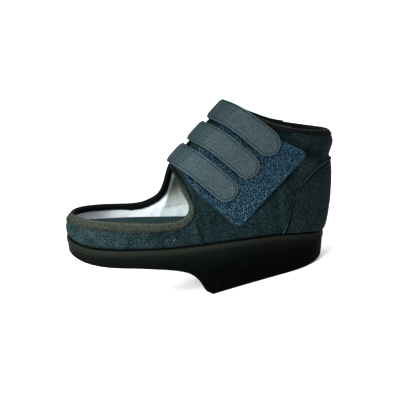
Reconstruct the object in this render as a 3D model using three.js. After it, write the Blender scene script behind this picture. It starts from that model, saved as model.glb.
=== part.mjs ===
// Open-toed recovery shoe with a wedge sole, a closed heel and three straps, for the left foot.
// The shoe is worked out in the frame of its last: toe at x = 0, heel at x = soleLength,
// the outer (lateral) side towards -y, and z = 0 on the feather line under the ball.
// At the end the whole shoe is tipped back until the ground face of its wedge lies on z = 0.
import * as THREE from 'three';

// Driving dimensions, in millimetres and degrees
const soleLength = 264;
const ballWidth = 100;
const heelWidth = 74;
const collarWidth = 66;
const instepHeight = 78;
const throatHeight = 139;
const heelHeight = 112;
const rimHeight = 25;
const wallThickness = 3;
const toeSpring = 7;
const heelRise = 13.8;
const forefootThickness = 21;
const wedgeDepth = 49.8;
const wedgePitch = 15.8;
const lipHeight = 7.5;
const insoleHeight = 12;
const strapWidth = 24.2;
const strapThickness = 2.4;
const strapReach = 66;
const strapAnchorReach = 46;
const patchThickness = 1.6;
const counterThickness = 1.2;
const bindingWidth = 9;
const collarBindingWidth = 5.5;
const bindingThickness = 0.9;
const clearance = 0.3;
const bindingClearance = 0.45;

// Smooth curve through the rows of a table, without overshoot between them
function curveThrough(rows, from, to) {
  const at = rows.map((row) => row[from]);
  const value = rows.map((row) => row[to]);
  const last = at.length - 1;
  const slope = at.slice(1).map((x, i) => (value[i + 1] - value[i]) / (x - at[i]));
  const tangent = at.map((x, i) => {
    if (i === 0) return slope[0];
    if (i === last) return slope[last - 1];
    if (slope[i - 1] * slope[i] <= 0) return 0;
    return (2 * slope[i - 1] * slope[i]) / (slope[i - 1] + slope[i]);
  });
  return (x) => {
    if (x <= at[0]) return value[0] + tangent[0] * (x - at[0]);
    if (x >= at[last]) return value[last] + tangent[last] * (x - at[last]);
    let i = 0;
    while (x > at[i + 1]) i += 1;
    const span = at[i + 1] - at[i];
    const t = (x - at[i]) / span;
    const h00 = (1 + 2 * t) * (1 - t) * (1 - t);
    const h10 = t * (1 - t) * (1 - t);
    const h01 = t * t * (3 - 2 * t);
    const h11 = t * t * (t - 1);
    return h00 * value[i] + h10 * span * tangent[i] + h01 * value[i + 1] + h11 * span * tangent[i + 1];
  };
}

const mix = (a, b, t) => a + (b - a) * t;
const clamp01 = (t) => Math.min(1, Math.max(0, t));
const smooth = (t) => clamp01(t) * clamp01(t) * (3 - 2 * clamp01(t));

// Plan of the last: share of the way from heel width to ball width at each share of the length
const breadthAt = curveThrough([
  { along: 0.00, ball: 0.90 },
  { along: 0.15, ball: 0.98 },
  { along: 0.27, ball: 1.00 },
  { along: 0.34, ball: 0.98 },
  { along: 0.41, ball: 0.86 },
  { along: 0.48, ball: 0.65 },
  { along: 0.56, ball: 0.43 },
  { along: 0.63, ball: 0.26 },
  { along: 0.71, ball: 0.15 },
  { along: 0.86, ball: 0.03 },
  { along: 1.00, ball: 0.00 },
], 'along', 'ball');

// Feather line, where upper and sole meet, as shares of the toe spring and the heel rise
const featherRows = [
  { along: 0.000, toe: 1.00, heel: 0.00 },
  { along: 0.030, toe: 0.60, heel: 0.00 },
  { along: 0.060, toe: 0.32, heel: 0.00 },
  { along: 0.100, toe: 0.08, heel: 0.00 },
  { along: 0.150, toe: 0.00, heel: 0.00 },
  { along: 0.335, toe: 0.00, heel: 0.05 },
  { along: 0.410, toe: 0.00, heel: 0.10 },
  { along: 0.480, toe: 0.00, heel: 0.18 },
  { along: 0.556, toe: 0.00, heel: 0.31 },
  { along: 0.631, toe: 0.00, heel: 0.48 },
  { along: 0.705, toe: 0.00, heel: 0.65 },
  { along: 0.780, toe: 0.00, heel: 0.83 },
  { along: 0.855, toe: 0.00, heel: 0.97 },
  { along: 0.920, toe: 0.00, heel: 1.00 },
  { along: 1.000, toe: 0.00, heel: 0.84 },
];
const toeLiftAt = curveThrough(featherRows, 'along', 'toe');
const heelLiftAt = curveThrough(featherRows, 'along', 'heel');
const featherZ = (x) => toeSpring * toeLiftAt(x / soleLength) + heelRise * heelLiftAt(x / soleLength);

// Front of the last: toe cap line, the open toe, then the straight ridge of the instep
const ridgeStart = { x: 0.406 * soleLength, z: instepHeight };
const ridgeEnd = { x: 0.618 * soleLength, z: throatHeight };
const ridgeSlope = (ridgeEnd.x - ridgeStart.x) / (ridgeEnd.z - ridgeStart.z);
const frontAt = curveThrough([
  { up: 0.00, along: 0.004 },
  { up: 0.09, along: 0.000 },
  { up: 0.17, along: -0.004 },
  { up: 0.26, along: 0.002 },
  { up: 0.37, along: 0.029 },
  { up: 0.45, along: 0.130 },
  { up: 0.54, along: 0.216 },
  { up: 0.64, along: 0.277 },
  { up: 0.77, along: 0.332 },
  { up: 0.90, along: 0.375 },
  { up: 1.00, along: ridgeStart.x / soleLength },
], 'up', 'along');
const ridgeX = (z) => ridgeStart.x + ridgeSlope * (z - ridgeStart.z);
const frontX = (z) => (z >= instepHeight ? ridgeX(z) : frontAt(z / instepHeight) * soleLength);

// Back of the last: over the sole, round the heel, in at the nip, out over the padded collar
const backAt = curveThrough([
  { up: 0.10, along: 0.996 },
  { up: 0.17, along: 1.006 },
  { up: 0.29, along: 1.014 },
  { up: 0.42, along: 1.019 },
  { up: 0.60, along: 1.020 },
  { up: 0.72, along: 1.016 },
  { up: 0.785, along: 1.014 },
  { up: 0.84, along: 1.020 },
  { up: 0.91, along: 1.026 },
  { up: 0.97, along: 1.017 },
  { up: 1.00, along: 1.006 },
], 'up', 'along');
const backX = (z) => backAt(z / heelHeight) * soleLength;

// Top line of the collar, from the throat to the back of the heel
const collarAt = curveThrough([
  { along: 0.618, up: throatHeight / heelHeight },
  { along: 0.643, up: 1.212 },
  { along: 0.672, up: 1.182 },
  { along: 0.727, up: 1.125 },
  { along: 0.803, up: 1.063 },
  { along: 0.883, up: 1.032 },
  { along: 0.960, up: 1.008 },
  { along: 1.010, up: 1.000 },
], 'along', 'up');
const collarZ = (x) => collarAt(x / soleLength) * heelHeight;

// Half width of the last at a place and height: full width, closed round the toe, ridge and heel
const toeRound = 0.265 * soleLength;
const ridgeRound = 0.19 * soleLength;
const heelRound = 0.155 * soleLength;
const toePower = 2.25;
const ridgePower = 2.0;
const heelPower = 2.25;
const collarPadDepth = 24;
const collarPadSwell = 1.8;
const closing = (share, power) => {
  const open = 1 - clamp01(share);
  return (1 - open ** power) ** (1 / power);
};
const ridgeBlend = (z) => smooth((z - rimHeight) / (instepHeight - rimHeight));
function fullHalfWidth(x, z) {
  const atFeather = mix(heelWidth, ballWidth, breadthAt(x / soleLength)) / 2;
  const height = (z - featherZ(x)) / heelHeight;
  const padShare = clamp01((z - collarZ(x) + collarPadDepth) / collarPadDepth);
  const padFade = smooth((x / soleLength - 0.66) / 0.12);
  const pad = collarPadSwell * padFade * Math.sin(Math.PI * padShare) ** 2;
  return mix(atFeather, collarWidth / 2, clamp01(height)) + pad;
}
function halfWidth(x, z) {
  const frontRound = mix(toeRound, ridgeRound, ridgeBlend(z));
  const frontPower = mix(toePower, ridgePower, ridgeBlend(z));
  const front = closing((x - frontX(z)) / frontRound, frontPower);
  const back = closing((backX(z) - x) / heelRound, heelPower);
  return fullHalfWidth(x, z) * front * back;
}

// Points and vectors
const lateral = -1;
const medial = 1;
const onLast = (side, x, z) => new THREE.Vector3(x, side * halfWidth(x, z), z);
const along = (point, direction, distance) => point.clone().addScaledVector(direction, distance);

// Mesh of triangles over indexed points, turned outwards by the sign of its volume
function closedGeometry(points, faces) {
  let volume = 0;
  for (const [a, b, c] of faces) {
    volume += points[a].dot(points[b].clone().cross(points[c])) / 6;
  }
  const indices = volume < 0 ? faces.flatMap(([a, b, c]) => [a, c, b]) : faces.flat();
  const geometry = new THREE.BufferGeometry();
  geometry.setAttribute('position', new THREE.Float32BufferAttribute(points.flatMap((p) => [p.x, p.y, p.z]), 3));
  geometry.setIndex(indices);
  geometry.computeVertexNormals();
  return geometry;
}

// Faces between neighbouring rings; the rings themselves are closed
function ringFaces(ringCount, ringSize, joinEnds) {
  const faces = [];
  const bands = joinEnds ? ringCount : ringCount - 1;
  for (let band = 0; band < bands; band += 1) {
    const here = band * ringSize;
    const next = ((band + 1) % ringCount) * ringSize;
    for (let i = 0; i < ringSize; i += 1) {
      const j = (i + 1) % ringSize;
      faces.push([here + i, here + j, next + j], [here + i, next + j, next + i]);
    }
  }
  return faces;
}

// Body of rings whose first and last ring are filled straight across, from side to side
function cappedRings(rings) {
  const size = rings[0].length;
  const half = size / 2;
  const faces = ringFaces(rings.length, size, false);
  const fill = (start, flip) => {
    for (let i = 0; i < half; i += 1) {
      const near = [start + i, start + i + 1];
      const far = [start + ((size - i) % size), start + size - i - 1];
      const corners = [];
      if (i > 0) corners.push([near[0], near[1], far[0]]);
      if (i < half - 1) corners.push([near[1], far[1], far[0]]);
      for (const [a, b, c] of corners) faces.push(flip ? [a, c, b] : [a, b, c]);
    }
  };
  fill(0, true);
  fill((rings.length - 1) * size, false);
  return closedGeometry(rings.flat(), faces);
}

// Slab between two grids of points with the same rows and columns
function slab(outer, inner) {
  const rows = outer.length;
  const columns = outer[0].length;
  const faces = [];
  const at = (r, c) => r * columns + c;
  const under = rows * columns;
  for (let r = 0; r < rows - 1; r += 1) {
    for (let c = 0; c < columns - 1; c += 1) {
      const [a, b, d, e] = [at(r, c), at(r, c + 1), at(r + 1, c + 1), at(r + 1, c)];
      faces.push([a, b, d], [a, d, e]);
      faces.push([under + a, under + d, under + b], [under + a, under + e, under + d]);
    }
  }
  const rim = [];
  for (let c = 0; c < columns - 1; c += 1) rim.push(at(0, c));
  for (let r = 0; r < rows - 1; r += 1) rim.push(at(r, columns - 1));
  for (let c = columns - 1; c > 0; c -= 1) rim.push(at(rows - 1, c));
  for (let r = rows - 1; r > 0; r -= 1) rim.push(at(r, 0));
  rim.forEach((a, i) => {
    const b = rim[(i + 1) % rim.length];
    faces.push([a, under + b, b], [a, under + a, under + b]);
  });
  return closedGeometry([...outer.flat(), ...inner.flat()], faces);
}

// Outward normals of a grid; ringed grids close on themselves along their columns
function gridNormals(grid, ringed, outwardHint) {
  const rows = grid.length;
  const columns = grid[0].length;
  return grid.map((row, r) => row.map((point, c) => {
    const before = ringed ? (c + columns - 1) % columns : Math.max(0, c - 1);
    const after = ringed ? (c + 1) % columns : Math.min(columns - 1, c + 1);
    const across = grid[r][after].clone().sub(grid[r][before]);
    const upward = grid[Math.min(rows - 1, r + 1)][c].clone().sub(grid[Math.max(0, r - 1)][c]);
    const normal = across.cross(upward).normalize();
    return normal.dot(outwardHint(point)) < 0 ? normal.negate() : normal;
  }));
}

// Edge of the upper's two quarters, from the toe rim round the corner and up to the instep
const edgeRows = {
  lateral: [
    { along: 0.235, up: 0.324 },
    { along: 0.320, up: 0.315 },
    { along: 0.400, up: 0.320 },
    { along: 0.449, up: 0.346 },
    { along: 0.476, up: 0.405 },
    { along: 0.487, up: 0.490 },
    { along: 0.482, up: 0.577 },
    { along: 0.465, up: 0.673 },
    { along: 0.440, up: 0.825 },
    { along: 0.421, up: 0.932 },
  ],
  medial: [
    { along: 0.235, up: 0.324 },
    { along: 0.276, up: 0.345 },
    { along: 0.316, up: 0.400 },
    { along: 0.346, up: 0.474 },
    { along: 0.363, up: 0.564 },
    { along: 0.373, up: 0.654 },
    { along: 0.381, up: 0.756 },
    { along: 0.390, up: 0.865 },
    { along: 0.400, up: 0.955 },
  ],
};

// Height of the toe rim, round the front of the open toe
const rimAt = curveThrough([
  { along: 0.00, up: 1.085 },
  { along: 0.06, up: 1.060 },
  { along: 0.15, up: 1.025 },
  { along: 0.235, up: (0.324 * instepHeight) / rimHeight },
], 'along', 'up');
const rimZ = (x) => rimAt(x / soleLength) * rimHeight;

// Where a quarter's edge lies beside the slit that runs up the instep
const slitHalfWidth = 1.7;
function ridgeEdgeX(z) {
  const share = slitHalfWidth / fullHalfWidth(ridgeX(z), z);
  return frontX(z) + ridgeRound * (1 - (1 - share ** ridgePower) ** (1 / ridgePower));
}

// Columns of one side of the upper. Each runs in the side plane from the feather line to the edge:
// round the toe, along the rim and up its corner, up the instep, along the collar, round the heel.
const toeColumns = 10;
const edgeColumns = 17;
const ridgeColumns = 10;
const collarColumns = 9;
const heelColumns = 9;
const fineSteps = 60;
const wallRows = 9;
const toeTurn = 0.8;
const heelTurn = 0.93;
const apexDroop = 0.12;
const ridgeDroop = { instep: 16, throat: 58 };
const footEnds = { toe: 0.212, instep: 0.568, throat: 0.72, heel: 0.855 };
const collarStops = [0.643, 0.672, 0.727, 0.803, 0.860];

function columnCurve(foot, head, inward) {
  const start = new THREE.Vector2(foot, featherZ(foot));
  const reach = 0.35 * start.distanceTo(head);
  return new THREE.CubicBezierCurve(
    start,
    new THREE.Vector2(start.x, start.y + reach),
    head.clone().addScaledVector(inward, reach),
    head,
  );
}

// Points of a side-plane curve, evenly apart as they lie on the last
function evenlyOnLast(side, curve, count) {
  const flat = curve.getPoints(20 * count);
  const laid = flat.map((point) => onLast(side, point.x, point.y));
  const travelled = [0];
  for (let i = 1; i < laid.length; i += 1) travelled.push(travelled[i - 1] + laid[i].distanceTo(laid[i - 1]));
  const points = [];
  for (let i = 0; i <= count; i += 1) {
    const distance = (travelled[laid.length - 1] * i) / count;
    points.push(flat[Math.max(0, travelled.findIndex((length) => length >= distance - 1e-6))]);
  }
  return points;
}

// Direction in the side plane, so many degrees below level
const slope = (degrees) => {
  const angle = THREE.MathUtils.degToRad(degrees);
  return new THREE.Vector2(Math.cos(angle), -Math.sin(angle));
};

function sideColumns(side) {
  const columns = [];
  for (let i = 0; i < toeColumns; i += 1) {
    const turn = Math.acos(1 - toeTurn) * (i / toeColumns);
    const inset = toeRound * (1 - Math.cos(turn));
    columns.push((t) => {
      const z = mix(featherZ(inset), rimZ(inset), t);
      return [frontX(z) + inset, z];
    });
  }
  const rows = edgeRows[side === lateral ? 'lateral' : 'medial'];
  const corner = rows.map((row) => new THREE.Vector3(row.along * soleLength, row.up * instepHeight, 0));
  corner.push(new THREE.Vector3(ridgeEdgeX(instepHeight), instepHeight, 0));
  const ridge = [instepHeight, throatHeight].map((z) => new THREE.Vector3(ridgeEdgeX(z), z, 0));
  const collar = collarStops.map((share) => (
    new THREE.Vector3(share * soleLength, collarZ(share * soleLength), 0)
  ));
  const addColumn = (foot, head, inward) => {
    const curve = columnCurve(foot * soleLength, new THREE.Vector2(head.x, head.y), inward);
    columns.push((t) => curve.getPoint(t).toArray());
  };
  const heads = evenlyOnLast(side, new THREE.CatmullRomCurve3(corner, false, 'centripetal'), edgeColumns);
  for (let i = 0; i < edgeColumns; i += 1) {
    const tangent = heads[i + 1].clone().sub(heads[Math.max(0, i - 1)]).normalize();
    const inward = new THREE.Vector2(tangent.y, Math.min(-tangent.x, -apexDroop)).normalize();
    addColumn(mix(footEnds.toe, footEnds.instep, i / edgeColumns), heads[i], inward);
  }
  for (let i = 0; i < ridgeColumns; i += 1) {
    const share = i / ridgeColumns;
    const inward = slope(mix(ridgeDroop.instep, ridgeDroop.throat, share));
    addColumn(mix(footEnds.instep, footEnds.throat, share), ridge[0].clone().lerp(ridge[1], share), inward);
  }
  const collarCurve = new THREE.CatmullRomCurve3([ridge[1], ...collar], false, 'centripetal');
  for (let i = 0; i < collarColumns; i += 1) {
    const share = i / collarColumns;
    const inward = slope(mix(ridgeDroop.throat, 90, Math.sqrt(share)));
    addColumn(mix(footEnds.throat, footEnds.heel, share), collarCurve.getPointAt(share), inward);
  }
  for (let i = 0; i <= heelColumns; i += 1) {
    const turn = Math.acos(1 - heelTurn) * (1 - i / heelColumns);
    const inset = heelRound * (1 - Math.cos(turn));
    columns.push((t) => {
      const footX = backX(featherZ(soleLength - inset)) - inset;
      const z = mix(featherZ(footX), collarZ(backX(heelHeight) - inset), t);
      return [backX(z) - inset, z];
    });
  }
  return columns;
}

// Width of the binding at a place on the edge: it narrows from the instep to the collar
const legWidth = (x, z) => {
  const toCollar = smooth((x / soleLength - 0.66) / 0.08) * smooth((z / heelHeight - 0.8) / 0.15);
  return mix(bindingWidth, collarBindingWidth, toCollar);
};

// A column as points on the last: even rows, then one row for the binding's leg, then the edge
function columnPoints(side, column) {
  const fine = [];
  for (let i = 0; i <= fineSteps; i += 1) {
    const t = 1 - (1 - i / fineSteps) ** 2;
    const [x, z] = column(t);
    fine.push(onLast(side, x, z));
  }
  const travelled = [0];
  for (let i = 1; i <= fineSteps; i += 1) travelled.push(travelled[i - 1] + fine[i].distanceTo(fine[i - 1]));
  const length = travelled[fineSteps];
  const leg = legWidth(fine[fineSteps].x, fine[fineSteps].z);
  const pointAt = (distance) => {
    let i = 0;
    while (i < fineSteps - 1 && travelled[i + 1] < distance) i += 1;
    return fine[i].clone().lerp(fine[i + 1], (distance - travelled[i]) / (travelled[i + 1] - travelled[i]));
  };
  const points = [];
  for (let row = 0; row < wallRows; row += 1) {
    points.push(pointAt((length - leg) * (row / (wallRows - 1))));
  }
  points.push(fine[fineSteps]);
  return points;
}

// The whole skin of the upper as rings of points: out along the lateral side, back by the medial
const coreStart = 0.25 * soleLength;
const coreEnd = 0.8 * soleLength;
const coreRise = 0.3;
function upperSkin() {
  const near = sideColumns(lateral).map((column) => columnPoints(lateral, column));
  const far = sideColumns(medial).map((column) => columnPoints(medial, column));
  const around = [...near, ...far.slice(1, -1).reverse()];
  const outer = around[0].map((point, row) => around.map((column) => column[row]));
  const core = (point) => new THREE.Vector3(
    point.x - THREE.MathUtils.clamp(point.x, coreStart, coreEnd),
    point.y,
    (point.z - featherZ(point.x)) * coreRise,
  );
  const normals = gridNormals(outer, true, core);
  return { outer, normals };
}
const skin = upperSkin();
const offsetRow = (row, distance) => skin.outer[row].map((point, i) => along(point, skin.normals[row][i], distance));

// Upper: one hollow wall, turned in at the feather line to a lasting margin
const marginWidth = 8;
function upperGeometry() {
  const outerRows = skin.outer.map((row, r) => offsetRow(r, 0));
  const innerRows = skin.outer.map((row, r) => offsetRow(r, -wallThickness));
  const lift = (row, height) => row.map((point) => new THREE.Vector3(point.x, point.y, featherZ(point.x) + height));
  const marginRow = skin.outer[0].map((point, i) => {
    const flat = skin.normals[0][i].clone().setZ(0).normalize();
    return along(point, flat, -wallThickness - marginWidth);
  });
  outerRows[0] = lift(outerRows[0], clearance);
  innerRows[0] = lift(innerRows[0], wallThickness + clearance);
  const rings = [
    ...outerRows,
    ...innerRows.reverse(),
    lift(marginRow, wallThickness + clearance),
    lift(marginRow, clearance),
  ];
  return closedGeometry(rings.flat(), ringFaces(rings.length, rings[0].length, true));
}

// Binding: folded tape over the whole edge of the upper, toe rim, instep and collar in one loop
function bindingGeometry() {
  const edge = wallRows;
  const leg = wallRows - 1;
  const over = bindingClearance + bindingThickness;
  const beyond = skin.outer[edge].map((point, i) => point.clone().sub(skin.outer[leg][i]).normalize());
  const shifted = (row, outwards, past) => (
    offsetRow(row, outwards).map((point, i) => along(point, beyond[i], past))
  );
  const rings = [
    shifted(leg, bindingClearance, 0),
    shifted(edge, bindingClearance, bindingClearance),
    shifted(edge, -wallThickness - bindingClearance, bindingClearance),
    shifted(leg, -wallThickness - bindingClearance, 0),
    shifted(leg, -wallThickness - over, 0),
    shifted(edge, -wallThickness - over, over),
    shifted(edge, over, over),
    shifted(leg, over, 0),
  ];
  return closedGeometry(rings.flat(), ringFaces(rings.length, rings[0].length, true));
}

// Underside of the sole: forefoot pad, hollow waist, front of the wedge, then its flat ground face
const underRows = [
  { along: 0.000, pad: 0.38, wedge: 0.000 },
  { along: 0.026, pad: 0.62, wedge: 0.000 },
  { along: 0.052, pad: 0.75, wedge: 0.000 },
  { along: 0.094, pad: 0.88, wedge: 0.000 },
  { along: 0.136, pad: 0.95, wedge: 0.000 },
  { along: 0.190, pad: 0.99, wedge: 0.000 },
  { along: 0.260, pad: 1.00, wedge: 0.000 },
  { along: 0.334, pad: 1.00, wedge: 0.025 },
  { along: 0.407, pad: 1.00, wedge: 0.075 },
  { along: 0.450, pad: 1.00, wedge: 0.140 },
  { along: 0.485, pad: 1.00, wedge: 0.245 },
  { along: 0.516, pad: 1.00, wedge: 0.475 },
  { along: 0.548, pad: 1.00, wedge: 0.900 },
  { along: 0.571, pad: 1.00, wedge: 1.000 },
];
const padAt = curveThrough(underRows, 'along', 'pad');
const wedgeAt = curveThrough(underRows, 'along', 'wedge');
const wedgeTipShare = underRows[underRows.length - 1].along;
const wedgeTipX = wedgeTipShare * soleLength;
const pitch = THREE.MathUtils.degToRad(wedgePitch);
function underZ(x) {
  if (x >= wedgeTipX) return -wedgeDepth + (x - wedgeTipX) * Math.tan(pitch);
  const share = x / soleLength;
  return -mix(forefootThickness * padAt(share), wedgeDepth, wedgeAt(share));
}

// Ring of points round the plan of the last, moved in from its outline by a distance
const planToeColumns = 10;
const planHeelColumns = 9;
const planSides = [0.235, 0.27, 0.305, 0.334, 0.37, 0.407, 0.429, 0.450, 0.468, 0.485, 0.501, 0.516, 0.532,
  0.548, 0.560, wedgeTipShare, 0.61, 0.66, 0.72, 0.78, 0.825];
const planWidth = (x) => (
  (mix(heelWidth, ballWidth, breadthAt(x / soleLength)) / 2)
  * closing(x / toeRound, toePower) * closing((soleLength - x) / heelRound, heelPower)
);
function planStations() {
  const stations = [];
  for (let i = 0; i < planToeColumns; i += 1) {
    stations.push(toeRound * (1 - Math.cos(Math.acos(1 - toeTurn) * (i / planToeColumns))));
  }
  stations.push(...planSides.map((share) => share * soleLength));
  for (let i = 0; i <= planHeelColumns; i += 1) {
    const turn = Math.acos(1 - heelTurn) * (1 - i / planHeelColumns);
    stations.push(soleLength - heelRound * (1 - Math.cos(turn)));
  }
  return stations;
}
function planRing(inset) {
  const stations = planStations();
  const edge = stations.map((x) => new THREE.Vector2(x, planWidth(x)));
  const mirrored = (point) => new THREE.Vector2(point.x, -point.y);
  const far = edge.map((point, i) => {
    const before = edge[i - 1] ?? mirrored(edge[i + 1]);
    const after = edge[i + 1] ?? mirrored(edge[i - 1]);
    const tangent = after.clone().sub(before).normalize();
    const onSide = i >= planToeColumns && i < planToeColumns + planSides.length;
    const outward = onSide ? new THREE.Vector2(0, 1) : new THREE.Vector2(-tangent.y, tangent.x);
    const distance = typeof inset === 'function' ? inset(outward) : inset;
    return point.clone().addScaledVector(outward, -distance);
  });
  return [...far.map(mirrored), ...far.slice(1, -1).reverse()];
}
const raise = (ring, height) => ring.map((point) => new THREE.Vector3(point.x, point.y, height(point.x)));

// Outsole: moulded cup with a raised lip round its top edge, and the wedge under its heel
const lipOverhang = 0.3;
const lipStep = 1.6;
const endLipStep = 0.6;
const lipRound = 1.2;
const sideTaper = 2.6;
const endTaper = 0.8;
const bottomRound = 3;
const heelCornerRound = 9;
const cupRimWidth = 11.5;
const cupRimRound = 0.5;
const cupWallDraft = 1;
const cupFloorThickness = 7;
const heelCupDepth = 3;
const cupDepth = (x) => {
  const full = featherZ(x) - underZ(x) - cupFloorThickness;
  const heelward = smooth((x / soleLength - 0.36) / 0.16);
  return mix(Math.min(full, forefootThickness - cupFloorThickness), heelCupDepth, heelward);
};
const cupFloorZ = (x) => featherZ(x) - cupDepth(x);
function outsoleGeometry() {
  const cornerRound = (outward) => mix(bottomRound, heelCornerRound, Math.max(0, outward.x) ** 2);
  const underLip = (outward) => mix(lipStep, endLipStep, outward.x ** 2) - lipOverhang;
  const taper = (outward) => mix(sideTaper, endTaper, outward.x ** 2);
  const bottomRing = (share) => planRing((outward) => (
    underLip(outward) + taper(outward) + cornerRound(outward) * share
  ));
  const roundedZ = (ring, outer, lifted) => ring.map((point, i) => (
    new THREE.Vector3(point.x, point.y, underZ(outer[i].x) + lifted(i))
  ));
  const bottom = bottomRing(1);
  const reach = bottomRing(0);
  const gap = bottom.map((point, i) => Math.hypot(point.x - reach[i].x, point.y - reach[i].y));
  const rings = [
    raise(planRing(cupRimWidth + cupWallDraft), cupFloorZ),
    raise(planRing(cupRimWidth), (x) => featherZ(x) - cupRimRound),
    raise(planRing(cupRimWidth), featherZ),
    raise(planRing(0), featherZ),
    raise(planRing(-lipOverhang), (x) => featherZ(x) - lipRound),
    raise(planRing(-lipOverhang), (x) => featherZ(x) - lipHeight + lipRound),
    raise(planRing(underLip), (x) => featherZ(x) - lipHeight),
    roundedZ(reach, bottom, (i) => gap[i]),
    roundedZ(bottomRing(0.3), bottom, (i) => gap[i] * 0.3),
    raise(bottom, underZ),
  ];
  return cappedRings(rings);
}

// Insole: foam footbed that fills the cup of the sole and lies on the upper's lasting margin
const insoleLean = 4;
const insoleSideDraft = 0.4;
const insoleEdgeRound = 1.5;
function insoleGeometry() {
  const plug = cupRimWidth + cupWallDraft + 2 * clearance;
  const overMargin = wallThickness + 3 * clearance;
  const edgeInset = wallThickness + insoleLean;
  const rings = [
    raise(planRing(plug), (x) => cupFloorZ(x) + clearance),
    raise(planRing(plug), (x) => featherZ(x) + overMargin - cupRimRound),
    raise(planRing(edgeInset), (x) => featherZ(x) + overMargin),
    raise(planRing(edgeInset + insoleSideDraft), (x) => featherZ(x) + insoleHeight - insoleEdgeRound),
    raise(planRing(edgeInset + insoleSideDraft + insoleEdgeRound), (x) => featherZ(x) + insoleHeight),
  ];
  return cappedRings(rings);
}

// Places on the quarter are measured from the ridge of the instep: down from it, and up along it
const ridgeLength = Math.hypot(ridgeEnd.x - ridgeStart.x, ridgeEnd.z - ridgeStart.z);
const ridgeUp = { x: (ridgeEnd.x - ridgeStart.x) / ridgeLength, z: (ridgeEnd.z - ridgeStart.z) / ridgeLength };
function fromRidge(side, down, up) {
  const z = ridgeStart.z + ridgeUp.z * up - ridgeUp.x * down;
  const x = down <= 0 ? frontX(z) : ridgeStart.x + ridgeUp.x * up + ridgeUp.z * down;
  return onLast(side, x, z);
}
const outFromCore = (point) => new THREE.Vector3(point.x - 0.72 * soleLength, point.y * 3, point.z - 0.5 * instepHeight);

// Slab that lies on the last at a height over each of its points
function laidSlab(grid, height, thickness) {
  const normals = gridNormals(grid, false, outFromCore);
  const lifted = (extra) => grid.map((row, r) => (
    row.map((point, c) => along(point, normals[r][c], height(r) + extra))
  ));
  return slab(lifted(thickness), lifted(0));
}

// Loop patch: fuzzy pad on the lateral quarter that the straps close on, square to the ridge
const patchStartDepth = 10;
const patchEndDepth = 90;
const patchLowHeight = 2;
const patchTopHeight = 72.5;
const patchTopRiseShare = 0.33;
const patchLowCutShare = 0.35;
const patchCutDepth = 25;
const patchCornerRadius = 8;
const patchLift = 0.55;
const patchSteps = 12;
function patchGeometry() {
  const highest = patchTopHeight + patchTopRiseShare * patchEndDepth;
  const grid = [];
  for (let r = 0; r <= patchSteps; r += 1) {
    const share = r / patchSteps;
    const up = mix(patchLowHeight, highest, share);
    const fromEnd = Math.min(up - patchLowHeight, highest - up);
    const short = Math.max(0, patchCornerRadius - fromEnd);
    const cut = patchCornerRadius - Math.sqrt(patchCornerRadius ** 2 - short ** 2);
    const row = [];
    for (let c = 0; c <= patchSteps; c += 1) {
      const down = mix(patchStartDepth, patchEndDepth - cut, c / patchSteps);
      const bottom = patchLowHeight + patchLowCutShare * Math.max(0, patchCutDepth - down);
      const top = patchTopHeight + patchTopRiseShare * down;
      row.push(fromRidge(lateral, down, mix(bottom, top, share)));
    }
    grid.push(row);
  }
  return laidSlab(grid, () => patchLift, patchThickness);
}

// Straps: from their seam on the medial quarter, over the ridge, to their round ends on the patch
const lowerStrapStation = 11.5;
const middleStrapStation = 42;
const upperStrapStation = 71.4;
const strapSlant = 11;
const anchorSlant = -4;
const strapSlantLength = 14;
const strapClearance = 0.5;
const strapLift = patchLift + patchThickness + strapClearance;
const anchorLift = strapClearance;
const anchorSlopeStart = 8;
const anchorSlopeLength = 22;
const strapRowsNear = 12;
const strapRowsFar = 7;
const strapColumns = 6;
function strapGeometry(station) {
  const grid = [];
  const lifts = [];
  for (let r = -strapRowsFar; r <= strapRowsNear; r += 1) {
    const side = r < 0 ? medial : lateral;
    const share = r < 0 ? -r / strapRowsFar : r / strapRowsNear;
    const reach = r < 0 ? strapAnchorReach : strapReach;
    const down = reach * share ** 1.5;
    const loweredShare = r < 0 ? smooth((down - anchorSlopeStart) / anchorSlopeLength) : 0;
    lifts.push(mix(strapLift, anchorLift, loweredShare));
    const row = [];
    for (let c = 0; c <= strapColumns; c += 1) {
      const across = 2 * (c / strapColumns) - 1;
      const endRound = (strapWidth / 2) * (1 - Math.sqrt(Math.max(0, 1 - across ** 2)));
      const trimmed = r > 0 ? Math.max(0, down - endRound * share ** 4) : down;
      const slant = (r < 0 ? anchorSlant : strapSlant) * (1 - Math.exp(-trimmed / strapSlantLength));
      row.push(fromRidge(side, trimmed, station + slant + across * (strapWidth / 2)));
    }
    grid.push(row);
  }
  return laidSlab(grid, (r) => lifts[r], strapThickness);
}

// Heel counter: outer cover of the heel, below a seam that rises from the sole to the nip
const counterRows = 5;
const counterColumns = 11;
const counterTopReach = 0.163 * soleLength;
const counterFootReach = 0.172 * soleLength;
const counterSeamAt = curveThrough([
  { inset: 0.000, up: 0.762 },
  { inset: 0.037, up: 0.735 },
  { inset: 0.114, up: 0.590 },
  { inset: 0.140, up: 0.478 },
  { inset: 0.155, up: 0.375 },
  { inset: 0.163, up: 0.260 },
], 'inset', 'up');
function counterGeometry() {
  const grid = [];
  for (let i = -counterColumns; i <= counterColumns; i += 1) {
    const side = i < 0 ? lateral : medial;
    const turned = 1 - Math.cos((Math.PI / 2) * (Math.abs(i) / counterColumns));
    const topInset = counterTopReach * turned;
    const footInset = counterFootReach * turned;
    const footX = backX(featherZ(soleLength - footInset)) - footInset;
    const foot = featherZ(footX) + 2 * clearance;
    const top = counterSeamAt(topInset / soleLength) * heelHeight;
    const column = [];
    for (let j = 0; j <= counterRows; j += 1) {
      const z = mix(foot, top, j / counterRows);
      column.push(onLast(side, backX(z) - mix(footInset, topInset, j / counterRows), z));
    }
    grid.push(column);
  }
  return laidSlab(grid, () => patchLift, counterThickness);
}

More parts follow.
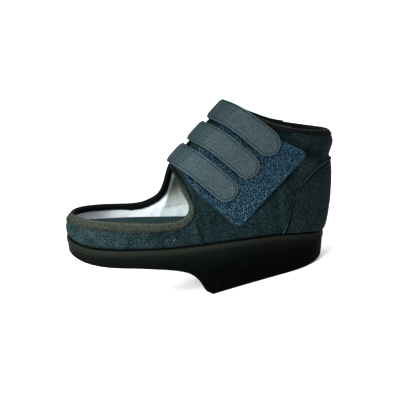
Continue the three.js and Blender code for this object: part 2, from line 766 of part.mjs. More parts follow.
// The finished shoe, tipped back on its wedge, its box centred over the origin and on the floor
const colour = (r, g, b) => new THREE.Color().setRGB(r / 255, g / 255, b / 255, THREE.SRGBColorSpace);
const finish = (name, r, g, b, roughness) => new THREE.MeshStandardMaterial({
  name,
  color: colour(r, g, b),
  roughness,
  metalness: 0,
});
const soleRubber = finish('sole_rubber', 22, 25, 24, 0.6);
const footbedFabric = finish('footbed_fabric', 38, 54, 58, 0.95);
const upperFabric = finish('upper_fabric', 30, 46, 52, 0.95);
const bindingTape = finish('binding_tape', 44, 48, 46, 0.85);
const loopFabric = finish('loop_fabric', 38, 63, 80, 1);
const strapWebbing = finish('strap_webbing', 74, 92, 97, 0.9);

const shoe = new THREE.Group();
const inLastFrame = new THREE.Group();
shoe.add(inLastFrame);
const addPiece = (name, geometry, material) => {
  const mesh = new THREE.Mesh(geometry, material);
  mesh.name = name;
  inLastFrame.add(mesh);
};
addPiece('outsole', outsoleGeometry(), soleRubber);
addPiece('insole', insoleGeometry(), footbedFabric);
addPiece('upper', upperGeometry(), upperFabric);
addPiece('heel_counter', counterGeometry(), upperFabric);
addPiece('edge_binding', bindingGeometry(), bindingTape);
addPiece('loop_patch', patchGeometry(), loopFabric);
addPiece('strap_lower', strapGeometry(lowerStrapStation), strapWebbing);
addPiece('strap_middle', strapGeometry(middleStrapStation), strapWebbing);
addPiece('strap_upper', strapGeometry(upperStrapStation), strapWebbing);

inLastFrame.rotation.y = pitch;
shoe.updateMatrixWorld(true);
const box = new THREE.Box3().setFromObject(shoe, true);
const middle = box.getCenter(new THREE.Vector3());
inLastFrame.position.set(-middle.x, -middle.y, -box.min.z);
shoe.updateMatrixWorld(true);

export default shoe;
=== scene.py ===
import math

import bmesh
import bpy
import numpy as np
from mathutils import Matrix, Vector


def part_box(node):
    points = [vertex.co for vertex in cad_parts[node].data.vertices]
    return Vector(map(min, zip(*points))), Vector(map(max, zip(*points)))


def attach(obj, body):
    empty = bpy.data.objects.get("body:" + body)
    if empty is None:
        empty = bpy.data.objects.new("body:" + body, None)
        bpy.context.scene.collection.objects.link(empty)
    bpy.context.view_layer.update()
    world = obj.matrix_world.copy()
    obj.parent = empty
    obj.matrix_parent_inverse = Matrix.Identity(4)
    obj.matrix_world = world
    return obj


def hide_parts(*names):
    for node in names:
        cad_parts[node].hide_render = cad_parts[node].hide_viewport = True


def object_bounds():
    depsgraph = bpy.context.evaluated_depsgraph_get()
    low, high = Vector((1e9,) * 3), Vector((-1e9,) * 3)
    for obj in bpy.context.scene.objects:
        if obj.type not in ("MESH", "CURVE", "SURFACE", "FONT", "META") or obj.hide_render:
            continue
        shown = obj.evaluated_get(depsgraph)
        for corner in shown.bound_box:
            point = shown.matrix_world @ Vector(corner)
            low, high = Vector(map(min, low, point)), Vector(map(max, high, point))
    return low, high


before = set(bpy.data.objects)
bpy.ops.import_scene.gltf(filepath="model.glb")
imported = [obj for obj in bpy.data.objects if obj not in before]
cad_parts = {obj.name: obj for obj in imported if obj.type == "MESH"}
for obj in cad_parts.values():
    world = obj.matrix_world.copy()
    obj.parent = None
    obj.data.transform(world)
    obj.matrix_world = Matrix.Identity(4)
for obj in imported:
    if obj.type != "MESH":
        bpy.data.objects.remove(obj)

# Camera and studio
# The camera stands low on the shoe's outer side, square to its last. The shoe leans back on its wedge, so
# the camera is rolled by the same angle. The floor is plain and pale and runs up into a white backdrop.
cad_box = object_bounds()
scene = bpy.context.scene
last_pitch = math.radians(15.8)
camera_elevation = math.asin(0.2)
camera_distance = 0.700
metres_a_pixel = 0.00103
frame_pixels = 400
aim_from_middle = Vector((-0.0011, 0.0, -0.0020))

camera_data = bpy.data.cameras.new("camera")
camera_data.lens = camera_data.sensor_width * camera_distance / (metres_a_pixel * frame_pixels)
camera = bpy.data.objects.new("camera", camera_data)
scene.collection.objects.link(camera)
scene.camera = camera
aim = Matrix.Translation((cad_box[0] + cad_box[1]) / 2 + aim_from_middle)
turn = Matrix.Rotation(last_pitch, 4, "Y") @ Matrix.Rotation(math.pi / 2 - camera_elevation, 4, "X")
camera.matrix_world = aim @ turn @ Matrix.Translation((0.0, 0.0, camera_distance))

scene.view_settings.view_transform = "Standard"
world = bpy.data.worlds.new("studio")
scene.world = world
world.use_nodes = True
sky = world.node_tree.nodes["Background"]
sky.inputs["Color"].default_value = (0.93, 0.97, 1.0, 1.0)
sky.inputs["Strength"].default_value = 0.29


def studio_light(name, kind, place, power, size=0.5, spread=40.0):
    """Soft light that looks at the shoe: a square panel close by, or a far one that lights all evenly."""
    light = bpy.data.lights.new(name, kind)
    light.energy = power
    if kind == "AREA":
        light.size = size
    else:
        light.angle = math.radians(spread)
    lamp = bpy.data.objects.new(name, light)
    scene.collection.objects.link(lamp)
    lamp.location = place
    lamp.rotation_euler = (aim.translation - Vector(place)).to_track_quat("-Z", "Y").to_euler()


studio_light("light_front", "SUN", (-0.55, -0.80, 0.95), 3.4, spread=35.0)
studio_light("light_over", "SUN", (-0.10, 0.25, 1.00), 1.7, spread=60.0)
studio_light("light_toe_side", "AREA", (-0.62, -0.45, 0.50), 7.5, size=0.45)
studio_light("light_heel_side", "SUN", (0.60, -0.55, 0.80), 0.9, spread=60.0)


def srgb(red, green, blue):
    """A colour read as 0 to 255, as the linear colour that a material takes."""
    shares = [value / 255 for value in (red, green, blue)]
    return tuple(s / 12.92 if s <= 0.04045 else ((s + 0.055) / 1.055) ** 2.4 for s in shares) + (1.0,)


def plain_material(name, colour, roughness):
    """Material with one colour, its nodes and its surface shader."""
    material = bpy.data.materials.new(name)
    material.use_nodes = True
    shader = material.node_tree.nodes["Principled BSDF"]
    shader.inputs["Base Color"].default_value = colour
    shader.inputs["Roughness"].default_value = roughness
    return material, material.node_tree, shader


backdrop_paper, tree, shader = plain_material("backdrop_paper", (0.90, 0.90, 0.90, 1.0), 0.9)
shader.inputs["Emission Color"].default_value = (1.0, 1.0, 1.0, 1.0)
shader.inputs["Emission Strength"].default_value = 0.20
floor_half_width = 5.0
floor_front = -3.0
floor_back = 2.6
sweep_radius = 1.5
sweep_steps = 24
backdrop_height = 5.0
profile = [(floor_front, 0.0)]
for step in range(sweep_steps + 1):
    angle = math.pi / 2 * step / sweep_steps
    profile.append((floor_back + sweep_radius * math.sin(angle), sweep_radius * (1 - math.cos(angle))))
profile.append((floor_back + sweep_radius, backdrop_height))
floor_mesh = bpy.data.meshes.new("floor")
floor_mesh.from_pydata(
    [(side * floor_half_width, y, z) for y, z in profile for side in (-1, 1)],
    [],
    [(2 * i, 2 * i + 1, 2 * i + 3, 2 * i + 2) for i in range(len(profile) - 1)],
)
floor_mesh.materials.append(backdrop_paper)
floor_mesh.shade_smooth()
floor = bpy.data.objects.new("floor", floor_mesh)
scene.collection.objects.link(floor)

# Outsole
# One moulded rubber cup sole: a raised lip round its top edge, smooth tapered sides, a hollow waist and
# the deep wedge under the heel half. Its underside has shallow zigzag grooves. It is cemented to the
# lasted upper.
sole_length = 264.0
ball_width = 100.0
heel_width = 74.0
toe_spring = 7.0
heel_rise = 13.8
forefoot_thickness = 21.0
wedge_depth = 49.8
wedge_tip_share = 0.571
lip_height = 7.5
lip_overhang = 0.3
lip_step = 1.6
end_lip_step = 0.6
lip_top_round = 2.2
lip_foot_round = 1.2
lip_top_drop = 0.8
side_taper = 2.6
end_taper = 0.8
bottom_round = 3.0
heel_corner_round = 9.0
cup_rim_width = 11.5
cup_wall_draft = 1.0
cup_floor_thickness = 7.0
cup_floor_columns = 4
heel_cup_depth = 3.0
heel_cup_start = 0.36
heel_cup_run = 0.16
clearance = 0.3
groove_depth = 1.1
groove_pitch = 7.5
groove_width = 2.4
groove_zigzag = 3.0
groove_zigzag_pitch = 20.0
groove_border = 10.0
groove_start = 0.05
groove_end = 0.40
groove_fade = 0.02
tread_columns = 44
toe_turn = 0.8
heel_turn = 0.93


def mix(a, b, share):
    """Value that lies a share of the way from the first to the second."""
    return a + (b - a) * share


def clamp01(share):
    """Share held between 0 and 1."""
    return np.clip(share, 0.0, 1.0)


def smooth(share):
    """Share that leaves 0 and reaches 1 gently."""
    return clamp01(share) ** 2 * (3 - 2 * clamp01(share))


def hermite(at, value, tangent, x):
    """Cubic through each value, leaving and reaching it along its tangent."""
    i = np.clip(np.searchsorted(at, x) - 1, 0, len(at) - 2)
    span = at[i + 1] - at[i]
    t = (x - at[i]) / span
    if value.ndim > 1:
        span = span[..., None]
        t = t[..., None]
    start = (1 + 2 * t) * (1 - t) ** 2 * value[i] + t * (1 - t) ** 2 * span * tangent[i]
    end = t**2 * (3 - 2 * t) * value[i + 1] + t**2 * (t - 1) * span * tangent[i + 1]
    return start + end


def curve_through(rows):
    """Smooth curve through rows of (at, value), without overshoot, carried on straight past both ends."""
    at, value = np.array(rows, float).T
    slope = np.diff(value) / np.diff(at)
    before, after = slope[:-1], slope[1:]
    same = before * after > 0
    inner = np.where(same, 2 * before * after / np.where(same, before + after, 1.0), 0.0)
    tangent = np.concatenate((slope[:1], inner, slope[-1:]))

    def curve(x):
        """Value of the curve at x."""
        x = np.asarray(x, float)
        held = np.clip(x, at[0], at[-1])
        return hermite(at, value, tangent, held) + np.where(x < held, tangent[0], tangent[-1]) * (x - held)

    return curve


# Share of the way from heel width to ball width, at shares of the sole's length
breadth = curve_through([
    (0.00, 0.90), (0.15, 0.98), (0.27, 1.00), (0.34, 0.98), (0.41, 0.86), (0.48, 0.65),
    (0.56, 0.43), (0.63, 0.26), (0.71, 0.15), (0.86, 0.03), (1.00, 0.00),
])
# Feather line, where upper and sole meet: share of the toe spring, then of the heel rise
toe_lift = curve_through([
    (0.000, 1.00), (0.030, 0.60), (0.060, 0.32), (0.100, 0.08), (0.150, 0.00), (1.000, 0.00),
])
heel_lift = curve_through([
    (0.000, 0.00), (0.150, 0.00), (0.335, 0.05), (0.410, 0.10), (0.480, 0.18), (0.556, 0.31), (0.631, 0.48),
    (0.705, 0.65), (0.780, 0.83), (0.855, 0.97), (0.920, 1.00), (1.000, 0.84),
])
# Underside: share of the forefoot's thickness, then share of the way from there to the wedge's depth
pad_share = curve_through([
    (0.000, 0.38), (0.026, 0.62), (0.052, 0.75), (0.094, 0.88), (0.136, 0.95), (0.190, 0.99), (0.260, 1.00),
    (0.571, 1.00),
])
wedge_share = curve_through([
    (0.000, 0.000), (0.260, 0.000), (0.334, 0.025), (0.407, 0.075), (0.450, 0.140), (0.485, 0.245),
    (0.516, 0.475), (0.548, 0.900), (wedge_tip_share, 1.000),
])
toe_round = 0.265 * sole_length
heel_round = 0.155 * sole_length
toe_power = 2.25
heel_power = 2.25


def feather_z(x):
    """Height of the feather line, where upper and sole meet."""
    return toe_spring * toe_lift(x / sole_length) + heel_rise * heel_lift(x / sole_length)


def under_z(x):
    """Height of the sole's underside. Past the wedge's tip it is the flat face that stands on the floor."""
    tip = wedge_tip_share * sole_length
    front = -mix(forefoot_thickness * pad_share(x / sole_length), wedge_depth, wedge_share(x / sole_length))
    return np.where(x >= tip, -wedge_depth + (x - tip) * math.tan(last_pitch), front)


def closing(share, power):
    """Rounded end of a plan: 0 at the end itself and 1 from share 1 on."""
    return (1 - (1 - clamp01(share)) ** power) ** (1 / power)


def half_plan(x):
    """Half the width of the last at the feather line."""
    at_feather = mix(heel_width, ball_width, breadth(x / sole_length)) / 2
    toe_end = closing(x / toe_round, toe_power)
    heel_end = closing((sole_length - x) / heel_round, heel_power)
    return at_feather * toe_end * heel_end


def plan_stations(toe_steps, side_steps, heel_steps):
    """Places along the length, closer together round the toe and the heel."""
    toe_angle = math.acos(1 - toe_turn)
    heel_angle = math.acos(1 - heel_turn)
    toe = toe_round * (1 - np.cos(toe_angle * np.arange(toe_steps) / toe_steps))
    heel_share = np.arange(heel_steps + 1) / heel_steps
    heel = sole_length - heel_round * (1 - np.cos(heel_angle * (1 - heel_share)))
    side = np.linspace(toe_round * toe_turn, heel[0], side_steps, endpoint=False)
    return np.concatenate((toe, side, heel))


class Plan:
    """Outline of the last at the feather line, and the rings that lie inside or outside it."""

    def __init__(self, stations):
        """Half outline at those places along the length, and its directions outwards."""
        self.x = stations
        self.y = half_plan(stations)
        ends_x = np.concatenate(([self.x[1]], self.x, [self.x[-2]]))
        ends_y = np.concatenate(([-self.y[1]], self.y, [-self.y[-2]]))
        run = ends_x[2:] - ends_x[:-2]
        rise = ends_y[2:] - ends_y[:-2]
        length = np.hypot(run, rise)
        self.out_x = -rise / length
        self.out_y = run / length

    def side(self, inset, height):
        """One side's points, moved in by a distance; height is a function of x, or heights."""
        x = self.x - self.out_x * inset
        y = self.y - self.out_y * inset
        y[0] = y[-1] = 0.0
        z = height(x) if callable(height) else height
        return np.stack((x, y, z), -1)

    @staticmethod
    def ring(side):
        """Closed ring: out along the outer side, back along the inner one."""
        near = side * (1.0, -1.0, 1.0)
        return np.concatenate((near, side[-2:0:-1]))


def ring_faces(ring_count, ring_size, joined=False):
    """Quads between neighbouring closed rings. Joined rings close on themselves, end to start."""
    band = np.arange(ring_count if joined else ring_count - 1)[:, None]
    i = np.arange(ring_size)[None, :]
    here = band * ring_size
    there = ((band + 1) % ring_count) * ring_size
    j = (i + 1) % ring_size
    corners = np.broadcast_arrays(here + i, here + j, there + j, there + i)
    return np.stack(corners, -1).reshape(-1, 4).tolist()


def fill_ring(ring, start, next_free, columns, height):
    """Fills a plan ring from side to side, with inner points at that height. Gives new points and faces."""
    size = len(ring)
    count = size // 2 + 1
    near = ring[1:count - 1]
    far = ring[:count - 1:-1]
    share = (np.arange(1, columns) / columns)[None, :, None]
    inner = near[:, None] + (far - near)[:, None] * share
    inner[..., 2] = height(inner[..., 0], inner[..., 1])
    free = next_free + np.arange(inner.shape[0] * inner.shape[1]).reshape(inner.shape[:2])
    place = np.arange(1, count - 1)
    table = np.column_stack((start + place, free, start + size - place))
    corners = (table[:-1, :-1], table[1:, :-1], table[1:, 1:], table[:-1, 1:])
    quads = np.stack(corners, -1).reshape(-1, 4).tolist()
    first = [[start, int(a), int(b)] for a, b in zip(table[0, :-1], table[0, 1:])]
    last = [[start + count - 1, int(b), int(a)] for a, b in zip(table[-1, :-1], table[-1, 1:])]
    return inner.reshape(-1, 3), quads + first + last


def turned(points):
    """Points of the last's frame, leaned back on the wedge."""
    x, y, z = np.moveaxis(points, -1, 0)
    cos, sin = math.cos(last_pitch), math.sin(last_pitch)
    return np.stack((x * cos + z * sin, y, z * cos - x * sin), -1)


def make_piece(name, points, faces, uv=None, sharp_angle=42.0):
    """Smooth closed mesh of points in metres, with its faces turned outwards. uv holds one pair a corner."""
    mesh = bpy.data.meshes.new(name)
    mesh.from_pydata(points.reshape(-1, 3).tolist(), [], faces)
    if uv is not None:
        mesh.uv_layers.new(name="UVMap").data.foreach_set("uv", np.asarray(uv, np.float32).ravel())
    work = bmesh.new()
    work.from_mesh(mesh)
    bmesh.ops.recalc_face_normals(work, faces=work.faces)
    work.to_mesh(mesh)
    work.free()
    mesh.shade_smooth()
    mesh.set_sharp_from_angle(angle=math.radians(sharp_angle))
    piece = bpy.data.objects.new(name, mesh)
    scene.collection.objects.link(piece)
    return piece


def point_value(piece, name, values):
    """Stores one number a point, for the piece's material to read."""
    attribute = piece.data.attributes.new(name, "FLOAT", "POINT")
    attribute.data.foreach_set("value", np.asarray(values, np.float32).ravel())


def groove(x, y):
    """Depth of the tread's grooves: none under the waist and on the wedge's front."""
    share = x / sole_length
    swing = np.abs((y / groove_zigzag_pitch) % 1.0 * 2 - 1) * groove_zigzag
    place = (x + swing) / groove_pitch
    from_middle = np.abs(place % 1.0 - 0.5) * groove_pitch
    cut = 1 - smooth((from_middle - groove_width / 2 + 0.6) / 0.9)
    under_toes = smooth((groove_end - share) / groove_fade) * smooth((share - groove_start) / groove_fade)
    under_heel = smooth((share - wedge_tip_share - groove_fade) / 0.01)
    from_outline = smooth((half_plan(x) - np.abs(y) - groove_border) / 1.5)
    return groove_depth * cut * (under_toes + under_heel) * from_outline


sole_plan = Plan(plan_stations(70, 330, 60))
out_square = sole_plan.out_x**2
under_lip = mix(lip_step, end_lip_step, out_square) - lip_overhang
taper = mix(side_taper, end_taper, out_square)
corner_round = mix(bottom_round, heel_corner_round, np.maximum(0.0, sole_plan.out_x) ** 2)
bottom = sole_plan.side(under_lip + taper + corner_round, under_z)
reach = sole_plan.side(under_lip + taper, under_z)
gap = np.hypot(*(reach - bottom)[:, :2].T)
sides = []
for angle in np.radians(np.linspace(0, 90, 7)):
    inset = under_lip + taper + corner_round * (1 - math.sin(angle))
    sides.append(sole_plan.side(inset, bottom[:, 2] + gap * (1 - math.cos(angle))))
bottom_edge = sides[-1]
lip_low = sole_plan.side(under_lip, lambda x: feather_z(x) - lip_height)
for share in (0.2, 0.4, 0.6, 0.8):
    sides.append(mix(bottom_edge, lip_low, share))
for angle in np.radians(np.linspace(0, 90, 5)):
    inset = mix(under_lip, -lip_overhang, math.sin(angle))
    drop = lip_height - lip_foot_round * (1 - math.cos(angle))
    sides.append(sole_plan.side(inset, lambda x, drop=drop: feather_z(x) - drop))
for angle in np.radians(np.linspace(0, 90, 8)):
    inset = mix(-lip_overhang, lip_top_round, 1 - math.cos(angle))
    drop = (lip_top_round + lip_top_drop) * (1 - math.sin(angle))
    sides.append(sole_plan.side(inset, lambda x, drop=drop: feather_z(x) - drop))


def cup_floor_z(x):
    """Height of the cup's floor: deep under the forefoot and shallow over the wedge."""
    full = feather_z(x) - under_z(x) - cup_floor_thickness
    heelward = smooth((x / sole_length - heel_cup_start) / heel_cup_run)
    depth = mix(np.minimum(full, forefoot_thickness - cup_floor_thickness), heel_cup_depth, heelward)
    return feather_z(x) - depth


sides.append(sole_plan.side(cup_rim_width, feather_z))
sides.append(sole_plan.side(cup_rim_width + cup_wall_draft, cup_floor_z))
sole_rings = [Plan.ring(side) for side in sides]
ring_size = len(sole_rings[0])
after_rings = ring_size * len(sole_rings)
bottom_points, bottom_faces = fill_ring(
    sole_rings[0], 0, after_rings, tread_columns, lambda x, y: under_z(x) + groove(x, y)
)
after_bottom = after_rings + len(bottom_points)
floor_points, floor_faces = fill_ring(
    sole_rings[-1], after_rings - ring_size, after_bottom, cup_floor_columns, lambda x, y: cup_floor_z(x)
)
sole_points = np.concatenate([*sole_rings, bottom_points, floor_points])
turned_sole = turned(sole_points)
place_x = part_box("outsole")[0].x - turned_sole[:, 0].min() / 1000
place_z = -turned(np.array([wedge_tip_share * sole_length, 0.0, -wedge_depth]))[2] / 1000
stand = np.array([place_x, 0.0, place_z])


def standing(points):
    """Points of the last's frame, in millimetres, as they stand on the floor, in metres."""
    return turned(points) / 1000 + stand


sole_stand = standing(sole_points)
sole_stand[:, 2] = np.maximum(sole_stand[:, 2], 0.0)
outsole = make_piece(
    "outsole_rubber", sole_stand, ring_faces(len(sole_rings), ring_size) + bottom_faces + floor_faces
)
tone_depth = 60.0
point_value(outsole, "below_lip", clamp01((feather_z(sole_points[:, 0]) - sole_points[:, 2]) / tone_depth))
# Painted shade along the sole: the lip darkens towards the heel.
lip_painted_shading = curve_through([(0.00, 0.80), (0.15, 1.00), (0.55, 0.95), (0.75, 0.60), (1.00, 0.45)])
point_value(outsole, "painted_shading", lip_painted_shading(sole_points[:, 0] / sole_length))


def node(tree, kind, **settings):
    """New node with its settings. A setting named as an input sets that input, or links it to an output."""
    made = tree.nodes.new(kind)
    for name, value in settings.items():
        if hasattr(made, name):
            setattr(made, name, value)
            continue
        socket = made.inputs[name.replace("_", " ").strip()]
        if isinstance(value, bpy.types.NodeSocket):
            tree.links.new(value, socket)
        else:
            socket.default_value = value
    return made


def noise(tree, place, grain_mm, detail=3.0, roughness=0.6):
    """Noise whose grain is about that many millimetres across."""
    made = node(
        tree, "ShaderNodeTexNoise",
        Vector=place, Scale=1000.0 / grain_mm, Detail=detail, Roughness=roughness,
    )
    return made.outputs["Fac"]


def ramp(tree, value, stops):
    """Colours along a value, as (place, colour) stops."""
    made = node(tree, "ShaderNodeValToRGB", Fac=value)
    elements = made.color_ramp.elements
    while len(elements) < len(stops):
        elements.new(0.5)
    for element, (place, colour) in zip(elements, stops):
        element.position = place
        element.color = colour
    return made.outputs["Color"]


def blended(tree, share, first, second, blend="MIX"):
    """Two colours mixed by a share."""
    made = tree.nodes.new("ShaderNodeMix")
    made.data_type = "RGBA"
    made.blend_type = blend
    for socket, value in ((made.inputs[0], share), (made.inputs[6], first), (made.inputs[7], second)):
        if isinstance(value, bpy.types.NodeSocket):
            tree.links.new(value, socket)
        else:
            socket.default_value = value
    return made.outputs[2]


def sum_of(tree, first, second, first_share=1.0, second_share=1.0):
    """Two values added, each by its share."""
    scaled = node(tree, "ShaderNodeMath", operation="MULTIPLY")
    tree.links.new(first, scaled.inputs[0])
    scaled.inputs[1].default_value = first_share
    added = node(tree, "ShaderNodeMath", operation="MULTIPLY_ADD")
    tree.links.new(second, added.inputs[0])
    added.inputs[1].default_value = second_share
    tree.links.new(scaled.outputs[0], added.inputs[2])
    return added.outputs[0]


def stored_value(tree, name):
    """Number that point_value has stored on the piece."""
    return node(tree, "ShaderNodeAttribute", attribute_name=name).outputs["Fac"]


def grey(value):
    """Grey of that value, as a colour."""
    return (value, value, value, 1.0)


def raise_surface(tree, shader, height, depth_mm, strength=1.0):
    """Bump of that depth on the shader."""
    bump = node(tree, "ShaderNodeBump", Height=height, Distance=depth_mm / 1000, Strength=strength)
    tree.links.new(bump.outputs["Normal"], shader.inputs["Normal"])


def object_place(tree):
    """Place on the piece, in its own coordinates."""
    return node(tree, "ShaderNodeTexCoord").outputs["Object"]


sole_rubber, tree, shader = plain_material("sole_rubber", srgb(16, 19, 18), 0.55)
shader.inputs["Specular IOR Level"].default_value = 0.01
place = object_place(tree)
below = stored_value(tree, "below_lip")
mottle = noise(tree, place, 9.0, 4.0)
speck = noise(tree, place, 0.7, 2.0)
# Colour down from the lip's top: dark where it meets the upper, then a painted highlight as a grey-brown
# band, then black.
lip_colour_and_highlight = ramp(tree, below, [
    (0.00, srgb(3, 5, 4)), (0.02, srgb(6, 8, 7)), (0.04, srgb(28, 31, 26)), (0.08, srgb(23, 26, 22)),
    (0.18, srgb(8, 11, 10)), (0.32, srgb(3, 5, 5)), (0.55, srgb(1, 2, 2)),
])
dust = ramp(tree, mottle, [(0.45, grey(0.0)), (0.80, grey(0.08))])
dust_and_highlight = blended(tree, dust, lip_colour_and_highlight, srgb(30, 33, 31))
# Painted shade from the stored value, darker towards the heel.
lip_shade = stored_value(tree, "painted_shading")
tree.links.new(blended(tree, 1.0, dust_and_highlight, lip_shade, "MULTIPLY"), shader.inputs["Base Color"])
tree.links.new(ramp(tree, mottle, [(0.3, grey(0.48)), (0.7, grey(0.66))]), shader.inputs["Roughness"])
raise_surface(tree, shader, sum_of(tree, speck, mottle, 1.0, 0.6), 0.12)
outsole.data.materials.append(sole_rubber)
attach(outsole, "root")
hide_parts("outsole")

# Insole
# Foam footbed covered in brushed fabric. It fills the cup of the sole, lies on the upper's turned-in
# margin and is a little dished under the heel, with a soft rise under the inner arch.
insole_height = 12.0
insole_lean = 4.0
wall_thickness = 3.0
insole_edge_round = 2.6
insole_edge_draft = 0.4
heel_dish = 1.4
arch_rise = 2.2
toe_hollow = 0.8
bed_columns = 30


def footbed_z(x, y):
    """Height of the footbed's face."""
    share = x / sole_length
    edge = half_plan(x) - wall_thickness - insole_lean
    middle = clamp01(1 - (np.abs(y) / np.maximum(edge, 1.0)) ** 2)
    dish = heel_dish * smooth((share - 0.72) / 0.14) * smooth((1.0 - share) / 0.1) * middle
    arch_along = np.exp(-((share - 0.56) / 0.12) ** 2)
    arch = arch_rise * arch_along * smooth(y / 30.0) * middle
    toes = toe_hollow * np.exp(-((share - 0.27) / 0.10) ** 2) * middle
    return feather_z(x) + insole_height - dish + arch - toes


bed_plan = Plan(plan_stations(48, 120, 40))
plug_inset = cup_rim_width + cup_wall_draft + 2 * clearance
over_margin = wall_thickness + 3 * clearance
bed_edge = wall_thickness + insole_lean
sides = [
    bed_plan.side(plug_inset, lambda x: cup_floor_z(x) + clearance),
    bed_plan.side(plug_inset, lambda x: feather_z(x) + over_margin - 0.5),
    bed_plan.side(bed_edge + 0.6, lambda x: feather_z(x) + over_margin),
    bed_plan.side(bed_edge, lambda x: feather_z(x) + over_margin + 0.6),
]
for angle in np.radians(np.linspace(0, 90, 7)):
    drop = insole_edge_round * (1 - math.sin(angle))
    inset = bed_edge + insole_edge_draft + insole_edge_round * (1 - math.cos(angle))
    sides.append(bed_plan.side(inset, lambda x, drop=drop: feather_z(x) + insole_height - drop))
bed_rings = [Plan.ring(side) for side in sides]
bed_size = len(bed_rings[0])
bed_faces = ring_faces(len(bed_rings), bed_size)
after_rings = bed_size * len(bed_rings)
low_points, low_faces = fill_ring(
    bed_rings[0], 0, after_rings, cup_floor_columns, lambda x, y: cup_floor_z(x) + clearance
)
top_points, top_faces = fill_ring(
    bed_rings[-1], after_rings - bed_size, after_rings + len(low_points), bed_columns, footbed_z
)
bed_points = np.concatenate([*bed_rings, low_points, top_points])
insole = make_piece("insole_footbed", standing(bed_points), bed_faces + low_faces + top_faces)


def brushed_fabric(name, dark, middle, light, grain_mm, nap_mm, sheen=0.04, with_painted_shading=False, rim=None):
    """Brushed knit: speckled colour, a deeper and lighter mottle over the panel, a short uneven nap, and
    optional painted shading and painted rim highlight.
    """
    material, tree, shader = plain_material(name, middle, 0.95)
    place = object_place(tree)
    fine = noise(tree, place, grain_mm, 3.0, 0.8)
    coarse = noise(tree, place, grain_mm * 2.4, 3.0, 0.6)
    wide = noise(tree, place, 22.0, 3.0, 0.5)
    speckle = ramp(tree, fine, [(0.38, dark), (0.50, middle), (0.62, light)])
    deeper = ramp(tree, coarse, [(0.42, grey(0.0)), (0.62, grey(0.22))])
    mottled = blended(tree, deeper, speckle, dark)
    lighter = ramp(tree, wide, [(0.40, grey(0.0)), (0.70, grey(0.10))])
    wear_and_painted_light = blended(tree, lighter, mottled, light)
    # Painted light and shade: the colour is scaled by the stored value, darker below 1 and lighter at 1.
    if with_painted_shading:
        painted_shading_tint = ramp(tree, stored_value(tree, "painted_shading"), [
            (0.00, grey(0.0)), (0.60, grey(0.60)), (1.00, (1.30, 1.16, 1.10, 1.0)),
        ])
        wear_and_painted_light = blended(tree, 1.0, wear_and_painted_light, painted_shading_tint, "MULTIPLY")
    # Painted highlight in the rim colour, within 0.7 mm of the border.
    if rim:
        wear_and_painted_highlight = ramp(tree, stored_value(tree, "border_mm"), [
            (0.10, grey(0.55)), (0.45, grey(0.40)), (0.70, grey(0.0)),
        ])
        wear_and_painted_light = blended(tree, wear_and_painted_highlight, wear_and_painted_light, rim)
    tree.links.new(wear_and_painted_light, shader.inputs["Base Color"])
    shader.inputs["Sheen Weight"].default_value = sheen
    shader.inputs["Sheen Roughness"].default_value = 0.5
    shader.inputs["Sheen Tint"].default_value = light
    shader.inputs["Specular IOR Level"].default_value = 0.03
    raise_surface(tree, shader, sum_of(tree, fine, coarse, 1.0, 0.8), nap_mm)
    return material


footbed_fabric = brushed_fabric(
    "footbed_fabric", srgb(5, 15, 17), srgb(18, 33, 35), srgb(52, 76, 80), grain_mm=2.0, nap_mm=0.45
)
insole.data.materials.append(footbed_fabric)
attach(insole, "root")
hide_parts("insole")

# Upper
# Foam-backed brushed nylon, cut as two quarters and a low toe rand, sewn, lasted and turned in under the
# footbed. The toe is open, and the instep has a narrow slit under the straps. Inside it is lined with pale
# fabric, and the collar with a dark knit over soft foam.
collar_width = 66.0
instep_height = 78.0
throat_height = 139.0
heel_height = 112.0
rim_height = 25.0
collar_pad_depth = 24.0
collar_pad_swell = 1.8
ridge_round = 0.19 * sole_length
ridge_power = 2.0
ridge_start = np.array([0.406 * sole_length, instep_height])
ridge_end = np.array([0.618 * sole_length, throat_height])
slit_half_width = 1.7
binding_width = 9.0
collar_binding_width = 5.5
margin_width = 8.0
apex_droop = 0.12
instep_droop = 16.0
throat_droop = 58.0
toe_foot = 0.212
instep_foot = 0.568
throat_foot = 0.72
heel_foot = 0.855
toe_columns = 34
edge_columns = 60
ridge_columns = 26
collar_columns = 34
heel_columns = 34
wall_rows = 46
leg_rows = 6
collar_lining_depth = 42.0
lining_blend = 3.0
pad_start = 0.66
pad_run = 0.12
core_start = 0.25 * sole_length
core_end = 0.8 * sole_length
core_rise = 0.3
lining_side_seam = 0.355
lining_side_lean = 0.12
lining_side_foot = 0.103
collar_stops = (0.643, 0.672, 0.727, 0.803, 0.860)
tuck_depth = 0.9
tuck_height = 2.6

# Front of the last, its back and the top line of its collar, at shares of their heights and of the length
front_share = curve_through([
    (0.00, 0.004), (0.09, 0.000), (0.17, -0.004), (0.26, 0.002), (0.37, 0.029), (0.45, 0.130), (0.54, 0.216),
    (0.64, 0.277), (0.77, 0.332), (0.90, 0.375), (1.00, 0.406),
])
back_share = curve_through([
    (0.10, 0.996), (0.17, 1.006), (0.29, 1.014), (0.42, 1.019), (0.60, 1.020), (0.72, 1.016), (0.785, 1.014),
    (0.84, 1.020), (0.91, 1.026), (0.97, 1.017), (1.00, 1.006),
])
collar_share = curve_through([
    (0.618, throat_height / heel_height), (0.643, 1.212), (0.672, 1.182), (0.727, 1.125), (0.803, 1.063),
    (0.883, 1.032), (0.960, 1.008), (1.010, 1.000),
])
rim_share = curve_through([
    (0.00, 1.085), (0.06, 1.060), (0.15, 1.025), (0.235, 0.324 * instep_height / rim_height),
])
